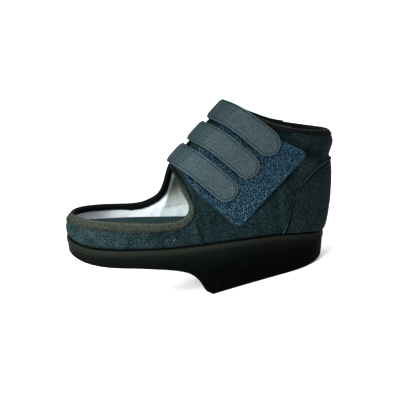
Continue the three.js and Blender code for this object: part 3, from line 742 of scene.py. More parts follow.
# Edge of each quarter, from the toe rim round its corner and up to the instep: shares of the length and
# of the instep's height
edge_rows = {
    -1: [(0.235, 0.324), (0.320, 0.315), (0.400, 0.320), (0.449, 0.346), (0.476, 0.405), (0.487, 0.490),
         (0.482, 0.577), (0.465, 0.673), (0.440, 0.825), (0.421, 0.932)],
    1: [(0.235, 0.324), (0.276, 0.345), (0.316, 0.400), (0.346, 0.474), (0.363, 0.564), (0.373, 0.654),
        (0.381, 0.756), (0.390, 0.865), (0.400, 0.955)],
}


def front_x(z):
    """Front of the last at a height: the toe's curve, and the straight ridge above the instep."""
    ridge_run, ridge_rise = ridge_end - ridge_start
    on_ridge = ridge_start[0] + ridge_run / ridge_rise * (z - instep_height)
    return np.where(z >= instep_height, on_ridge, front_share(z / instep_height) * sole_length)


def back_x(z):
    """Back of the last at a height."""
    return back_share(z / heel_height) * sole_length


def collar_z(x):
    """Height of the collar's top line."""
    return collar_share(x / sole_length) * heel_height


def rim_z(x):
    """Height of the toe opening's rim."""
    return rim_share(x / sole_length) * rim_height


def full_half_width(x, z):
    """Half the width of the last before its ends are rounded, with the swell of the collar's pad."""
    at_feather = mix(heel_width, ball_width, breadth(x / sole_length)) / 2
    height = clamp01((z - feather_z(x)) / heel_height)
    pad_share = clamp01((z - collar_z(x) + collar_pad_depth) / collar_pad_depth)
    pad = collar_pad_swell * smooth((x / sole_length - pad_start) / pad_run) * np.sin(np.pi * pad_share) ** 2
    return mix(at_feather, collar_width / 2, height) + pad


def half_width(x, z):
    """Half the width of the last, rounded to its front and its back."""
    blend = smooth((z - rim_height) / (instep_height - rim_height))
    front_round = mix(toe_round, ridge_round, blend)
    front = closing((x - front_x(z)) / front_round, mix(toe_power, ridge_power, blend))
    back = closing((back_x(z) - x) / heel_round, heel_power)
    return full_half_width(x, z) * front * back


def on_last(side, x, z):
    """Point of the last on one side: -1 is the outer side and 1 the inner one."""
    return np.stack(np.broadcast_arrays(x, side * half_width(x, z), z), -1)


def ridge_edge_x(z):
    """Edge of the instep's slit at a height."""
    share = slit_half_width / full_half_width(front_x(z), z)
    return front_x(z) + ridge_round * (1 - (1 - share**ridge_power) ** (1 / ridge_power))


def knotted(points, count):
    """Points on a curve through the given ones, with knots apart as the root of their distance."""
    knot = np.concatenate(([0.0], np.cumsum(np.linalg.norm(np.diff(points, axis=0), axis=1) ** 0.5)))
    step = np.diff(knot)[:, None]
    slope = np.diff(points, axis=0) / step
    across = (points[2:] - points[:-2]) / (step[:-1] + step[1:])
    tangent = np.concatenate((slope[:1], slope[:-1] - across + slope[1:], slope[-1:]))
    return hermite(knot, points, tangent, np.linspace(0, knot[-1], count))


def lengths(points):
    """Distance travelled at each point of a path."""
    return np.concatenate(([0.0], np.cumsum(np.linalg.norm(np.diff(points, axis=0), axis=1))))


def evenly(path, measured, count):
    """Points of a path, evenly apart by the lengths of the measured path that goes with it."""
    travelled = lengths(measured)
    wanted = np.linspace(0, travelled[-1], count)
    return np.stack([np.interp(wanted, travelled, path[:, axis]) for axis in range(path.shape[1])], -1)


def side_columns(side):
    """Lines of the last's side plane, from the feather line up to the upper's edge, as arrays of (x, z)."""
    t = 1 - (1 - np.linspace(0, 1, 121)) ** 2
    columns = []
    for i in range(toe_columns):
        inset = toe_round * (1 - math.cos(math.acos(1 - toe_turn) * i / toe_columns))
        z = mix(feather_z(inset), rim_z(inset), t)
        columns.append(np.stack((front_x(z) + inset, z), -1))

    corner = [(a * sole_length, b * instep_height) for a, b in edge_rows[side]]
    corner.append((float(ridge_edge_x(instep_height)), instep_height))
    corner_path = knotted(np.array(corner), 1200)
    heads = evenly(corner_path, on_last(side, *corner_path.T), edge_columns + 1)
    run = np.vstack((heads[1] - heads[0], heads[2:] - heads[:-2], heads[-1] - heads[-2]))[:edge_columns]
    run /= np.linalg.norm(run, axis=1, keepdims=True)
    inward = np.stack((run[:, 1], np.minimum(-run[:, 0], -apex_droop)), -1)
    inward /= np.linalg.norm(inward, axis=1, keepdims=True)
    bends = [
        (mix(toe_foot, instep_foot, i / edge_columns), heads[i], inward[i]) for i in range(edge_columns)
    ]

    def falling(degrees):
        """Direction that falls towards the heel by that angle."""
        return np.array([math.cos(math.radians(degrees)), -math.sin(math.radians(degrees))])

    low = np.array([float(ridge_edge_x(instep_height)), instep_height])
    high = np.array([float(ridge_edge_x(throat_height)), throat_height])
    for i in range(ridge_columns):
        share = i / ridge_columns
        foot = mix(instep_foot, throat_foot, share)
        bends.append((foot, mix(low, high, share), falling(mix(instep_droop, throat_droop, share))))
    top_line = [high]
    for stop in collar_stops:
        top_line.append(np.array([stop * sole_length, float(collar_z(stop * sole_length))]))
    top_path = knotted(np.array(top_line), 600)
    top = evenly(top_path, top_path, collar_columns + 1)
    for i in range(collar_columns):
        share = i / collar_columns
        foot = mix(throat_foot, heel_foot, share)
        bends.append((foot, top[i], falling(mix(throat_droop, 90.0, math.sqrt(share)))))

    for foot, head, inward_there in bends:
        start = np.array([foot * sole_length, float(feather_z(foot * sole_length))])
        hold = 0.35 * np.linalg.norm(head - start)
        guides = (start, start + (0.0, hold), head + inward_there * hold, head)
        weights = ((1 - t) ** 3, 3 * t * (1 - t) ** 2, 3 * t**2 * (1 - t), t**3)
        columns.append(sum(w[:, None] * guide for w, guide in zip(weights, guides)))

    for i in range(heel_columns + 1):
        inset = heel_round * (1 - math.cos(math.acos(1 - heel_turn) * (1 - i / heel_columns)))
        foot_x = back_x(feather_z(sole_length - inset)) - inset
        z = mix(feather_z(foot_x), collar_z(back_x(heel_height) - inset), t)
        columns.append(np.stack((back_x(z) - inset, z), -1))
    return columns


def leg_width(x, z):
    """Width of the binding's outer leg: it narrows from the instep to the collar."""
    to_collar = smooth((x / sole_length - 0.66) / 0.08) * smooth((z / heel_height - 0.8) / 0.15)
    return mix(binding_width, collar_binding_width, to_collar)


def column_points(side, column):
    """Even rows up the wall, then even rows over the width that the binding covers."""
    travelled = lengths(on_last(side, *column.T))
    leg = leg_width(*column[-1])
    wall = (travelled[-1] - leg) * np.linspace(0, 1, wall_rows)
    edge = travelled[-1] - leg * np.linspace(1, 0, leg_rows + 1)[1:]
    wanted = np.concatenate((wall, edge))
    x, z = (np.interp(wanted, travelled, column[:, axis]) for axis in (0, 1))
    return on_last(side, x, z)


near_side = [column_points(-1, column) for column in side_columns(-1)]
far_side = [column_points(1, column) for column in side_columns(1)]
skin = np.stack([*near_side, *far_side[-2:0:-1]], 1)
side_count = len(near_side)
across = np.roll(skin, -1, 1) - np.roll(skin, 1, 1)
upward = np.concatenate((skin[1:2] - skin[:1], skin[2:] - skin[:-2], skin[-1:] - skin[-2:-1]))
skin_normal = np.cross(across, upward)
skin_normal /= np.linalg.norm(skin_normal, axis=-1, keepdims=True)
core_x = np.clip(skin[..., 0], core_start, core_end)
above_feather = skin[..., 2] - feather_z(skin[..., 0])
outward = np.stack((skin[..., 0] - core_x, skin[..., 1], above_feather * core_rise), -1)
skin_normal *= np.sign((skin_normal * outward).sum(-1, keepdims=True))

# Creases and seams of the upper: side, path as (share of length, share of heel height), width and
# height in millimetres, where a height below 0 is a soft trough
side_seam = [(0.505, 0.245), (0.520, 0.150), (0.540, 0.035)]
upper_folds = [
    (-1, side_seam, 2.0, -0.80),
    (-1, [(0.488, 0.250), (0.506, 0.160), (0.526, 0.045)], 3.2, 0.35),
    (-1, [(0.560, 0.250), (0.640, 0.320), (0.720, 0.400)], 7.0, -0.55),
    (-1, [(0.640, 0.180), (0.700, 0.260), (0.790, 0.350)], 6.0, 0.45),
    (-1, [(0.672, 0.170), (0.789, 0.473), (0.907, 0.776)], 2.2, -0.80),
    (-1, [(0.850, 0.930), (0.910, 0.840), (0.985, 0.780)], 5.0, -0.90),
    (-1, [(0.800, 0.800), (0.880, 0.740), (0.960, 0.720)], 6.0, 0.40),
    (-1, [(0.060, 0.150), (0.140, 0.120), (0.260, 0.135)], 5.0, 0.45),
    (-1, [(0.300, 0.090), (0.390, 0.120), (0.470, 0.100)], 5.0, -0.40),
    (1, [(0.420, 0.400), (0.500, 0.470), (0.600, 0.500)], 7.0, -0.80),
    (1, [(0.460, 0.280), (0.550, 0.360), (0.660, 0.390)], 7.0, 0.55),
    (1, [(0.480, 0.160), (0.560, 0.210), (0.680, 0.250)], 6.0, -0.60),
    (1, [(0.760, 0.900), (0.850, 0.820), (0.960, 0.790)], 6.0, -0.80),
    (1, [(0.700, 0.640), (0.800, 0.600), (0.900, 0.620)], 8.0, -0.50),
    (1, [(0.080, 0.130), (0.180, 0.110), (0.300, 0.130)], 5.0, 0.40),
    (1, side_seam, 2.0, -0.80),
]


def distance_to_path(x, z, path):
    """Distance in the side plane from points to a path through a few places, and the share along it."""
    corners = knotted(np.array(path) * (sole_length, heel_height), 16)
    best = np.full(x.shape, 1e9)
    share = np.zeros(x.shape)
    for i, (a, b) in enumerate(zip(corners[:-1], corners[1:])):
        run = b - a
        t = clamp01(((x - a[0]) * run[0] + (z - a[1]) * run[1]) / (run @ run))
        distance = np.hypot(x - a[0] - t * run[0], z - a[1] - t * run[1])
        share = np.where(distance < best, (i + t) / (len(corners) - 1), share)
        best = np.minimum(best, distance)
    return best, share


relief = np.zeros(skin.shape[:2])
for side, path, width, height in upper_folds:
    distance, share = distance_to_path(skin[..., 0], skin[..., 2], path)
    ends = np.sin(np.pi * np.clip(share, 0.02, 0.98)) ** 0.6
    relief += height * ends * np.exp(-((distance / width) ** 2)) * (skin[..., 1] * side > 0)
height_up = np.linspace(0, 1, len(skin))[:, None]
around = np.arange(skin.shape[1])[None, :] / skin.shape[1] * 2 * math.pi
upright_ripple = 0.18 * np.sin(41 * around + 1.3) * np.sin(np.pi * height_up)
slanted_ripple = 0.14 * np.sin(23 * around + 5 * height_up)
relief += upright_ripple + slanted_ripple
edge_fade = smooth((len(skin) - 1 - np.arange(len(skin))) / 6.0)[:, None]
relief *= edge_fade
relief -= tuck_depth * (1 - smooth(above_feather / tuck_height))

outer_rows = skin + skin_normal * relief[..., None]
inner_rows = skin + skin_normal * (0.6 * relief[..., None] - wall_thickness)
outer_rows[0, :, 2] = feather_z(outer_rows[0, :, 0]) + clearance
inner_rows[0, :, 2] = feather_z(inner_rows[0, :, 0]) + wall_thickness + clearance
flat_normal = skin_normal[0] * (1.0, 1.0, 0.0)
flat_normal /= np.linalg.norm(flat_normal, axis=-1, keepdims=True)
margin = skin[0] - flat_normal * (wall_thickness + margin_width)
margin_z = feather_z(margin[:, 0])
margin_top = np.stack((margin[:, 0], margin[:, 1], margin_z + wall_thickness + clearance), -1)
margin_low = np.stack((margin[:, 0], margin[:, 1], margin_z + clearance), -1)
upper_rings = [*outer_rows, *inner_rows[::-1], margin_top, margin_low]
ring_size = skin.shape[1]
upper = make_piece(
    "upper_shell", standing(np.stack(upper_rings)), ring_faces(len(upper_rings), ring_size, joined=True)
)

upper_fabric = brushed_fabric(
    "upper_fabric", srgb(2, 8, 10), srgb(14, 27, 29), srgb(49, 73, 77), grain_mm=1.0, nap_mm=0.5,
    sheen=0.0, with_painted_shading=True,
)
lining_fabric, tree, shader = plain_material("lining_fabric", srgb(236, 242, 244), 0.9)
place = object_place(tree)
weave = noise(tree, place, 0.6, 2.0)
rumple = noise(tree, place, 12.0, 3.0)
clean = ramp(tree, rumple, [(0.30, srgb(226, 236, 242)), (0.65, srgb(243, 249, 253))])
# Painted shade of the lining from white down to deep shade; at 0 it takes the dark collar knit's colour.
shade_and_collar_knit_colour = ramp(tree, stored_value(tree, "lining_painted_shade_and_knit"), [
    (0.00, srgb(27, 35, 33)), (0.06, srgb(42, 46, 42)), (0.30, srgb(140, 146, 134)),
    (0.70, srgb(224, 232, 232)), (1.00, grey(1.0)),
])
tree.links.new(blended(tree, 1.0, clean, shade_and_collar_knit_colour, "MULTIPLY"), shader.inputs["Base Color"])
raise_surface(tree, shader, sum_of(tree, rumple, weave, 1.0, 0.12), 1.6)
for material in (upper_fabric, lining_fabric):
    upper.data.materials.append(material)
face_count = len(upper.data.polygons)
face_row = np.arange(face_count) // ring_size
lined = (face_row >= len(skin) - 1) & (face_row <= 2 * len(skin))
upper.data.polygons.foreach_set("material_index", lined.astype(np.int32))
# Painted light and shade along the upper: lighter round the toe, darker towards the heel.
painted_light_along = curve_through([
    (0.00, 0.80), (0.08, 0.84), (0.18, 0.86), (0.35, 0.76), (0.61, 0.54), (0.79, 0.41), (1.00, 0.40),
])


def painted_panel_shading(points):
    """Painted light and shade of the outer fabric: lighter round the toe, darker towards the heel and the
    collar.
    """
    share = points[..., 0].ravel() / sole_length
    height = (points[..., 2].ravel() - feather_z(points[..., 0].ravel())) / heel_height
    return painted_light_along(share) * (1 - 0.08 * smooth((height - 0.55) / 0.4))


lining_seam = curve_through([(0.30, 0.165), (0.367, 0.198), (0.420, 0.223), (0.464, 0.246), (0.70, 0.30)])
# Painted shade above the lining's level seam, deeper towards the straps.
shade_above_lining_seam = curve_through([
    (0.00, 0.46), (0.06, 0.36), (0.15, 0.22), (0.25, 0.15), (0.40, 0.09), (0.80, 0.06),
])


def lining_painted_shading(points):
    """Painted shade of the lining: white below its level seam, painted shade from it up to the straps, dark
    along seams, painted light at the toe.
    """
    share = points[..., 0] / sole_length
    over_seam = points[..., 2] / heel_height - lining_seam(share)
    upright = share - lining_side_seam - lining_side_lean * (points[..., 2] / heel_height - lining_side_foot)
    behind = smooth(upright / 0.01)
    painted_shading = mix(0.84, mix(0.57, shade_above_lining_seam(np.maximum(0.0, over_seam)), smooth(over_seam / 0.012)), behind)
    on_upright = np.exp(-((upright / 0.006) ** 2)) * smooth((0.03 - over_seam) / 0.02)
    on_level = np.exp(-((over_seam / 0.008) ** 2)) * behind
    return painted_shading * (1 - 0.35 * np.maximum(on_upright, on_level)) + 0.14 * smooth((0.30 - share) / 0.1)


rows = len(skin)
shell_painted_shading = painted_panel_shading(np.stack(upper_rings)).reshape(len(upper_rings), ring_size)
# Painted shade in the creases, seams and the tuck into the sole, painted light on the creases' ridges.
shell_painted_shading[:rows] *= 1 + 0.75 * np.clip(relief, -1.1, 0.6)
point_value(upper, "painted_shading", shell_painted_shading)
travelled_up = np.cumsum(np.linalg.norm(np.diff(skin, axis=0, prepend=skin[:1]), axis=-1), axis=0)
from_edge = travelled_up[-1] - travelled_up
column = np.arange(ring_size)
side_column = np.minimum(column, 2 * side_count - 2 - column)
first_collar_column = toe_columns + edge_columns + ridge_columns - 4
near_edge = smooth((collar_lining_depth - from_edge) / lining_blend)
collar_knit = near_edge * smooth((side_column - first_collar_column) / lining_blend)
# Stored value: the lining's painted shade, and 0 for the dark knit of the collar lining.
lining_painted_shade_and_knit = np.ones((len(upper_rings), ring_size))
lining_painted_shade_and_knit[rows:2 * rows] = (lining_painted_shading(skin) * (1 - collar_knit))[::-1]
point_value(upper, "lining_painted_shade_and_knit", lining_painted_shade_and_knit)
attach(upper, "root")
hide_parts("upper")

# Edge binding
# Soft knitted tape folded over the whole raw edge of the upper, toe rim, instep and collar in one loop, and
# sewn through with one row of lockstitch. It is narrower round the padded collar.
binding_thickness = 0.9
binding_clearance = 0.45
binding_fold = 2.0
inner_leg_share = 0.62
outer_leg_of_tape = 0.4
fold_of_tape = 0.2
tape_run = 22.0
edge_row = skin[-1]
beyond = skin[-1] - skin[-3]
beyond /= np.linalg.norm(beyond, axis=-1, keepdims=True)
tape_waver = 0.16 * np.sin(around[0] * 37) + 0.12 * np.sin(around[0] * 61 + 2)


def tape_line(row_share, outwards, past):
    """Line along the tape: row_share goes from its leg's border at 0 to the upper's raw edge at 1."""
    row = rows - 1 - leg_rows * (1 - row_share)
    low = int(math.floor(row))
    high = min(low + 1, rows - 1)
    share = row - low
    points = mix(skin[low], skin[high], share)
    normals = mix(skin_normal[low], skin_normal[high], share)
    slide = beyond * (past + tape_waver * (1 - row_share))[:, None]
    return points + normals * outwards + slide


over = binding_clearance + binding_thickness
under_tape = binding_clearance * 0.6
wall_middle = -wall_thickness / 2
level = np.zeros(ring_size)
tape_lines = []
tape_shares = []


def add_tape_line(leg_share, outwards, tape_share, past=0.0):
    """Adds a line to the tape's section, with its share of the way across the tape."""
    tape_lines.append(tape_line(leg_share, outwards, level + past))
    tape_shares.append(tape_share)


def inner_share(leg_share):
    """The inner leg is narrower than the outer one."""
    return 1 - inner_leg_share * (1 - leg_share)


# Height of the tape over the wall, at shares of its leg from the border to the fold
leg_section = [
    (0.00, 0.30), (0.00, 0.75), (0.06, 1.10), (0.20, 1.30), (0.38, 1.18), (0.58, 1.45), (0.78, 1.52),
    (0.92, 1.45),
]
for share, height in leg_section:
    add_tape_line(share, height, outer_leg_of_tape * share)
for angle in np.radians(np.linspace(0, 180, 11)):
    outwards = wall_middle + (over - wall_middle) * math.cos(angle)
    tape_share = outer_leg_of_tape + fold_of_tape * angle / math.pi
    add_tape_line(1.0, outwards, tape_share, binding_fold * math.sin(angle))
for share, height in leg_section[::-1]:
    add_tape_line(inner_share(share), -wall_thickness - height, 1 - outer_leg_of_tape * share)
for share in (0.3, 0.7):
    add_tape_line(inner_share(share), -wall_thickness - under_tape, 1.0)
for angle in np.radians(np.linspace(180, 0, 7)):
    outwards = wall_middle + (under_tape - wall_middle) * math.cos(angle)
    add_tape_line(1.0, outwards, 0.5, (binding_fold - binding_thickness) * math.sin(angle))
for share in (0.7, 0.3):
    add_tape_line(share, under_tape, 0.0)

tape_length = np.append(lengths(edge_row), 0.0)
tape_length[-1] = tape_length[-2] + np.linalg.norm(edge_row[0] - edge_row[-1])
tape_across = np.append(tape_shares, tape_shares[0]) * tape_run
corner_row = np.arange(len(tape_lines))[:, None]
corner_column = np.arange(ring_size)[None, :]
tape_uv = np.stack([
    np.stack(np.broadcast_arrays(tape_length[corner_column + c], tape_across[corner_row + r]), -1)
    for r, c in ((0, 0), (0, 1), (1, 1), (1, 0))
], -2)
binding = make_piece(
    "edge_binding_tape",
    standing(np.stack(tape_lines)),
    ring_faces(len(tape_lines), ring_size, joined=True),
    tape_uv,
)
toe_share = edge_row[:, 0] / sole_length
olive = (1 - smooth((edge_row[:, 2] - 50.0) / 22.0)) * mix(0.45, 1.0, smooth(toe_share / 0.07))
olive *= 1 - smooth((toe_share - 0.6) / 0.1)
outside = np.array([1.0 - smooth((share - 0.42) / 0.10) for share in tape_shares])
point_value(binding, "olive", np.outer(outside, olive))


def knit_tape(name, colour, olive_colour, edge_colour):
    """Knitted tape: fine ribs along it, paler loops speckled over it, painted shadow by its outer border, a
    painted highlight along its fold, and a soft nap.
    """
    material, tree, shader = plain_material(name, colour, 0.9)
    place = object_place(tree)
    tape = node(tree, "ShaderNodeUVMap", uv_map="UVMap").outputs["UV"]
    ribs = node(
        tree, "ShaderNodeTexWave",
        bands_direction="Y", Vector=tape, Scale=0.42, Distortion=0.6, Detail=1.0,
    )
    cross = node(
        tree, "ShaderNodeTexWave",
        bands_direction="X", Vector=tape, Scale=0.30, Distortion=1.5, Detail=1.0,
    )
    fuzz = noise(tree, place, 0.8, 3.0, 0.7)
    patches = noise(tree, place, 2.0, 3.0)
    base = blended(tree, stored_value(tree, "olive"), colour, olive_colour)
    loops = ramp(tree, fuzz, [(0.40, grey(0.0)), (0.70, grey(0.75))])
    speckled = blended(tree, loops, base, edge_colour, "ADD")
    hollows = ramp(tree, patches, [(0.44, grey(0.0)), (0.62, grey(0.55))])
    shaded = blended(tree, hollows, speckled, colour)
    across_tape = node(tree, "ShaderNodeSeparateXYZ", Vector=tape).outputs["Y"]
    width_share = node(tree, "ShaderNodeMapRange", Value=across_tape)
    width_share.inputs["From Max"].default_value = tape_run
    # Painted shadow along the outer leg's border, where the tape lies on the upper.
    lined = ramp(tree, width_share.outputs["Result"], [
        (0.00, grey(0.35)), (0.05, grey(0.80)), (0.12, grey(0.90)), (0.34, grey(1.0)),
    ])
    # Painted highlight along the fold of the tape.
    folded = ramp(tree, width_share.outputs["Result"], [
        (0.35, grey(0.0)), (0.40, grey(0.6)), (0.46, grey(0.0)),
    ])
    shadowed_at_border = blended(tree, 1.0, shaded, lined, "MULTIPLY")
    # Painted highlight colour, added along the fold.
    wear_and_painted_highlight = blended(tree, folded, shadowed_at_border, srgb(38, 39, 36), "ADD")
    tree.links.new(wear_and_painted_highlight, shader.inputs["Base Color"])
    shader.inputs["Specular IOR Level"].default_value = 0.03
    knit = sum_of(tree, ribs.outputs["Fac"], cross.outputs["Fac"], 0.6, 0.4)
    raise_surface(tree, shader, sum_of(tree, knit, fuzz, 0.5, 1.0), 0.35)
    return material


binding_tape = knit_tape("binding_tape", srgb(4, 8, 8), srgb(47, 52, 46), srgb(20, 25, 22))
binding.data.materials.append(binding_tape)
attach(binding, "root")
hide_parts("edge_binding")

# Loop patch
# Hook-and-loop landing patch on the outer quarter: a knitted backing with its border sewn down. Its pile
# of loops is the section after the straps.
ridge_length = np.linalg.norm(ridge_end - ridge_start)
ridge_up = (ridge_end - ridge_start) / ridge_length
patch_thickness = 1.6
patch_lift = 0.55
patch_start = 10.0
patch_end = 90.0
patch_low = 2.0
patch_top_at_ridge = 72.5
patch_top_slope = 0.33
patch_edge_cut = 0.35
patch_cut_reach = 25.0
patch_corner = 8.0
patch_stitch_inset = 2.4
patch_steps = 84
patch_high = patch_top_at_ridge + patch_top_slope * patch_end


def on_quarter(down, up):
    """Point of the last so far down from the instep's ridge, below 0 on the inner side, and so far up it."""
    side = np.where(np.asarray(down) < 0, 1.0, -1.0)
    z = ridge_start[1] + ridge_up[1] * up - ridge_up[0] * np.abs(down)
    x = ridge_start[0] + ridge_up[0] * up + ridge_up[1] * np.abs(down)
    return on_last(side, np.maximum(x, front_x(z)), z)


def over_surface(place, first, second, step, height, outwards):
    """Point at a height over a surface, square to it. place gives the surface, outwards its outer side."""
    middle = place(first, second)
    along = place(first + step, second) - place(first - step, second)
    upwards = place(first, second + step) - place(first, second - step)
    normal = np.cross(along, upwards)
    normal /= np.linalg.norm(normal, axis=-1, keepdims=True)
    normal *= np.sign((normal * outwards(middle)).sum(-1, keepdims=True))
    return middle + normal * np.asarray(height)[..., None]


def from_quarter_core(points):
    """Rough direction outwards at the quarter."""
    return (points - (0.72 * sole_length, 0.0, 0.5 * instep_height)) * (1.0, 3.0, 1.0)


def over_quarter(down, up, height):
    """Point at a height over the quarter, square to it."""
    return over_surface(on_quarter, down, up, 0.6, height, from_quarter_core)


def grid_faces(grid):
    """Quads between the points of a grid, given by their numbers."""
    return np.stack((grid[:-1, :-1], grid[:-1, 1:], grid[1:, 1:], grid[1:, :-1]), -1).reshape(-1, 4)


def slab_faces(rows, columns):
    """Faces of a closed slab between two grids of the same size, the second one under the first."""
    under = rows * columns
    grid = np.arange(under).reshape(rows, columns)
    top = grid_faces(grid)
    rim = np.concatenate((grid[0, :-1], grid[:-1, -1], grid[-1, :0:-1], grid[:0:-1, 0]))
    after = np.roll(rim, -1)
    wall = np.stack((rim, after, after + under, rim + under), -1)
    return np.concatenate((top, top[:, ::-1] + under, wall)).tolist()


def slab_uv(values, faces):
    """One pair of texture places a corner, from the grid's own values; the underside repeats them."""
    both = np.concatenate((values.reshape(-1, 2), values.reshape(-1, 2)))
    return np.concatenate([both[face] for face in faces])


def rounded(distance, radius, foot=0.4):
    """Share of a slab's thickness near its border: it starts at foot and is full from the radius on."""
    return foot + (1 - foot) * np.sqrt(1 - (1 - clamp01(distance / radius)) ** 2)


def close_ends(count):
    """Shares from 0 to 1, closer together at both ends."""
    return (1 - np.cos(np.pi * np.arange(count + 1) / count)) / 2


def patch_place(row_share, column_share):
    """Place on the quarter, as (down, up), of a share of the patch each way."""
    up = mix(patch_low, patch_high, row_share)
    from_end = np.minimum(up - patch_low, patch_high - up)
    short = np.maximum(0.0, patch_corner - from_end)
    cut = patch_corner - np.sqrt(patch_corner**2 - short**2)
    down = mix(patch_start, patch_end - cut, column_share)
    low = patch_low + patch_edge_cut * np.maximum(0.0, patch_cut_reach - down)
    return down, mix(low, patch_top_at_ridge + patch_top_slope * down, row_share)


row_share, column_share = np.meshgrid(close_ends(patch_steps), close_ends(patch_steps), indexing="ij")
down, up = patch_place(row_share, column_share)
patch_border = np.minimum(
    np.minimum(row_share, 1 - row_share) * (patch_high - patch_low),
    np.minimum(column_share, 1 - column_share) * (patch_end - patch_start),
)
sewn_in = 0.5 * np.exp(-((patch_border - patch_stitch_inset) / 0.8) ** 2)
patch_top = patch_lift + patch_thickness * rounded(patch_border, 1.0, 0.3) - sewn_in
patch_grid = np.stack((
    over_quarter(down, up, patch_top),
    over_quarter(down, up, np.full(down.shape, patch_lift)),
))
patch_faces = slab_faces(*down.shape)
patch = make_piece("loop_patch_pad", standing(patch_grid), patch_faces)
point_value(patch, "border_mm", np.stack((patch_border, patch_border)))
# Painted highlight along the patch's border, and painted shadow along each strap's lower edge from the
# stored value.
patch_backing = brushed_fabric(
    "patch_backing", srgb(3, 14, 22), srgb(11, 30, 42), srgb(26, 52, 68), grain_mm=1.4, nap_mm=0.5,
    with_painted_shading=True, rim=srgb(60, 84, 96),
)
patch.data.materials.append(patch_backing)
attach(patch, "root")
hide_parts("loop_patch")


def geometry_tree(name, inputs):
    """New Geometry Nodes tree with its named inputs, and its two end nodes."""
    tree = bpy.data.node_groups.new(name, "GeometryNodeTree")
    tree.interface.new_socket("Geometry", in_out="INPUT", socket_type="NodeSocketGeometry")
    tree.interface.new_socket("Geometry", in_out="OUTPUT", socket_type="NodeSocketGeometry")
    for label, kind in inputs:
        tree.interface.new_socket(label, in_out="INPUT", socket_type="NodeSocket" + kind)
    start = tree.nodes.new("NodeGroupInput")
    end = tree.nodes.new("NodeGroupOutput")
    return tree, start, end


def finish_tree(tree, start, end, geometry):
    """Ends a tree: the instances made real, in the material of its input."""
    real = node(tree, "GeometryNodeRealizeInstances", Geometry=geometry)
    dressed = node(
        tree, "GeometryNodeSetMaterial",
        Geometry=real.outputs[0], Material=start.outputs["Material"],
    )
    tree.links.new(dressed.outputs[0], end.inputs[0])


def grown(name, mesh, tree, values):
    """What a tree makes of a mesh, as a plain object."""
    source = bpy.data.objects.new(name + "_source", mesh)
    scene.collection.objects.link(source)
    modifier = source.modifiers.new("grow", "NODES")
    modifier.node_group = tree
    for socket in tree.interface.items_tree:
        if socket.in_out == "INPUT" and socket.name in values:
            modifier[socket.identifier] = values[socket.name]
    depsgraph = bpy.context.evaluated_depsgraph_get()
    made = bpy.data.objects.new(name, bpy.data.meshes.new_from_object(source.evaluated_get(depsgraph)))
    source.modifiers.clear()
    bpy.data.objects.remove(source)
    scene.collection.objects.link(made)
    return made


# Straps
# Three straps of brushed laminate, each sewn down on the inner quarter, led over the instep and closed on
# the loop patch by the hook tab under its rounded end. A row of stitches holds the tab, and another runs
# round the border.
strap_width = 24.2
strap_thickness = 2.4
strap_reach = 66.0
strap_anchor_reach = 46.0
strap_slant = 11.0
strap_slant_length = 14.0
anchor_slant = -4.0
strap_clearance = 0.5
strap_lift = patch_lift + patch_thickness + strap_clearance
ridge_bridge = 1.0
ridge_bridge_reach = 9.0
ridge_edge_round = 6.0
anchor_lift = strap_clearance
anchor_slope_start = 8.0
anchor_slope_length = 22.0
strap_stations = {"strap_lower": 11.5, "strap_middle": 42.0, "strap_upper": 71.4}
tab_seam = {"strap_lower": 10.0, "strap_middle": 10.5, "strap_upper": 12.0}
# Painted shade of each strap, deeper for the straps higher up the instep.
strap_painted_shade = {"strap_lower": 0.80, "strap_middle": 0.73, "strap_upper": 0.67}
strap_columns = 44
strap_rows_near = 120
strap_rows_far = 56
border_stitch = 2.0
strap_half = strap_width / 2


def strap_up(station, down):
    """Middle line of a strap, so far up the ridge, at a distance down from it."""
    slant = np.where(np.asarray(down) < 0, anchor_slant, strap_slant)
    return station + slant * (1 - np.exp(-np.abs(down) / strap_slant_length))


def strap_base(down):
    """Height of a strap's underside over the last: it comes down to the inner quarter at its sewn end."""
    bridge = ridge_bridge * np.exp(-((np.asarray(down) / ridge_bridge_reach) ** 2))
    lowered = smooth((-np.asarray(down) - anchor_slope_start) / anchor_slope_length)
    return mix(strap_lift, anchor_lift, lowered) + bridge


def strap_border(down, across):
    """Distance from a place on a strap to its border. Across runs from -1 to 1."""
    side = strap_half * (1 - np.abs(across))
    past = np.maximum(0.0, down - (strap_reach - strap_half))
    at_end = strap_half - np.hypot(past, across * strap_half)
    return np.maximum(0.0, np.where(past > 0, at_end, np.minimum(side, down + strap_anchor_reach)))


def strap_top(down, across):
    """Height of a strap's face: round at its border, drawn in along the stitches and full in the middle."""
    border = strap_border(down, across)
    drawn_in = 0.35 * np.exp(-((border - border_stitch) / 0.7) ** 2)
    fullness = 0.35 * (1 - np.exp(-border / 4.0))
    edge_round = mix(1.1, ridge_edge_round, np.exp(-((down / ridge_bridge_reach) ** 2)))
    return strap_base(down) + strap_thickness * rounded(border, edge_round) - drawn_in + fullness - 0.2


def over_strap(station, down, across, raised=0.0):
    """Point over a strap's face, so far down from the ridge and across from -1 to 1."""
    up = strap_up(station, down) + across * strap_half
    return over_quarter(down, up, strap_top(down, across) + raised)


near_share = close_ends(strap_rows_near)[1:]
far_share = close_ends(strap_rows_far)[::-1]
across_line = np.sin(np.pi / 2 * np.linspace(-1, 1, strap_columns + 1))
end_round = strap_half * (1 - np.sqrt(1 - across_line**2))
rounding = end_round[None, :] * near_share[:, None] ** 4
near_down = np.maximum(0.0, strap_reach * near_share[:, None] - rounding)
far_down = -strap_anchor_reach * far_share[:, None] * np.ones_like(across_line)
strap_down = np.concatenate((far_down, near_down))
strap_across = np.broadcast_to(across_line, strap_down.shape)
strap_faces = slab_faces(*strap_down.shape)
strap_values = np.stack((strap_down, strap_across * strap_half), -1)
strap_corner_values = slab_uv(strap_values, strap_faces)


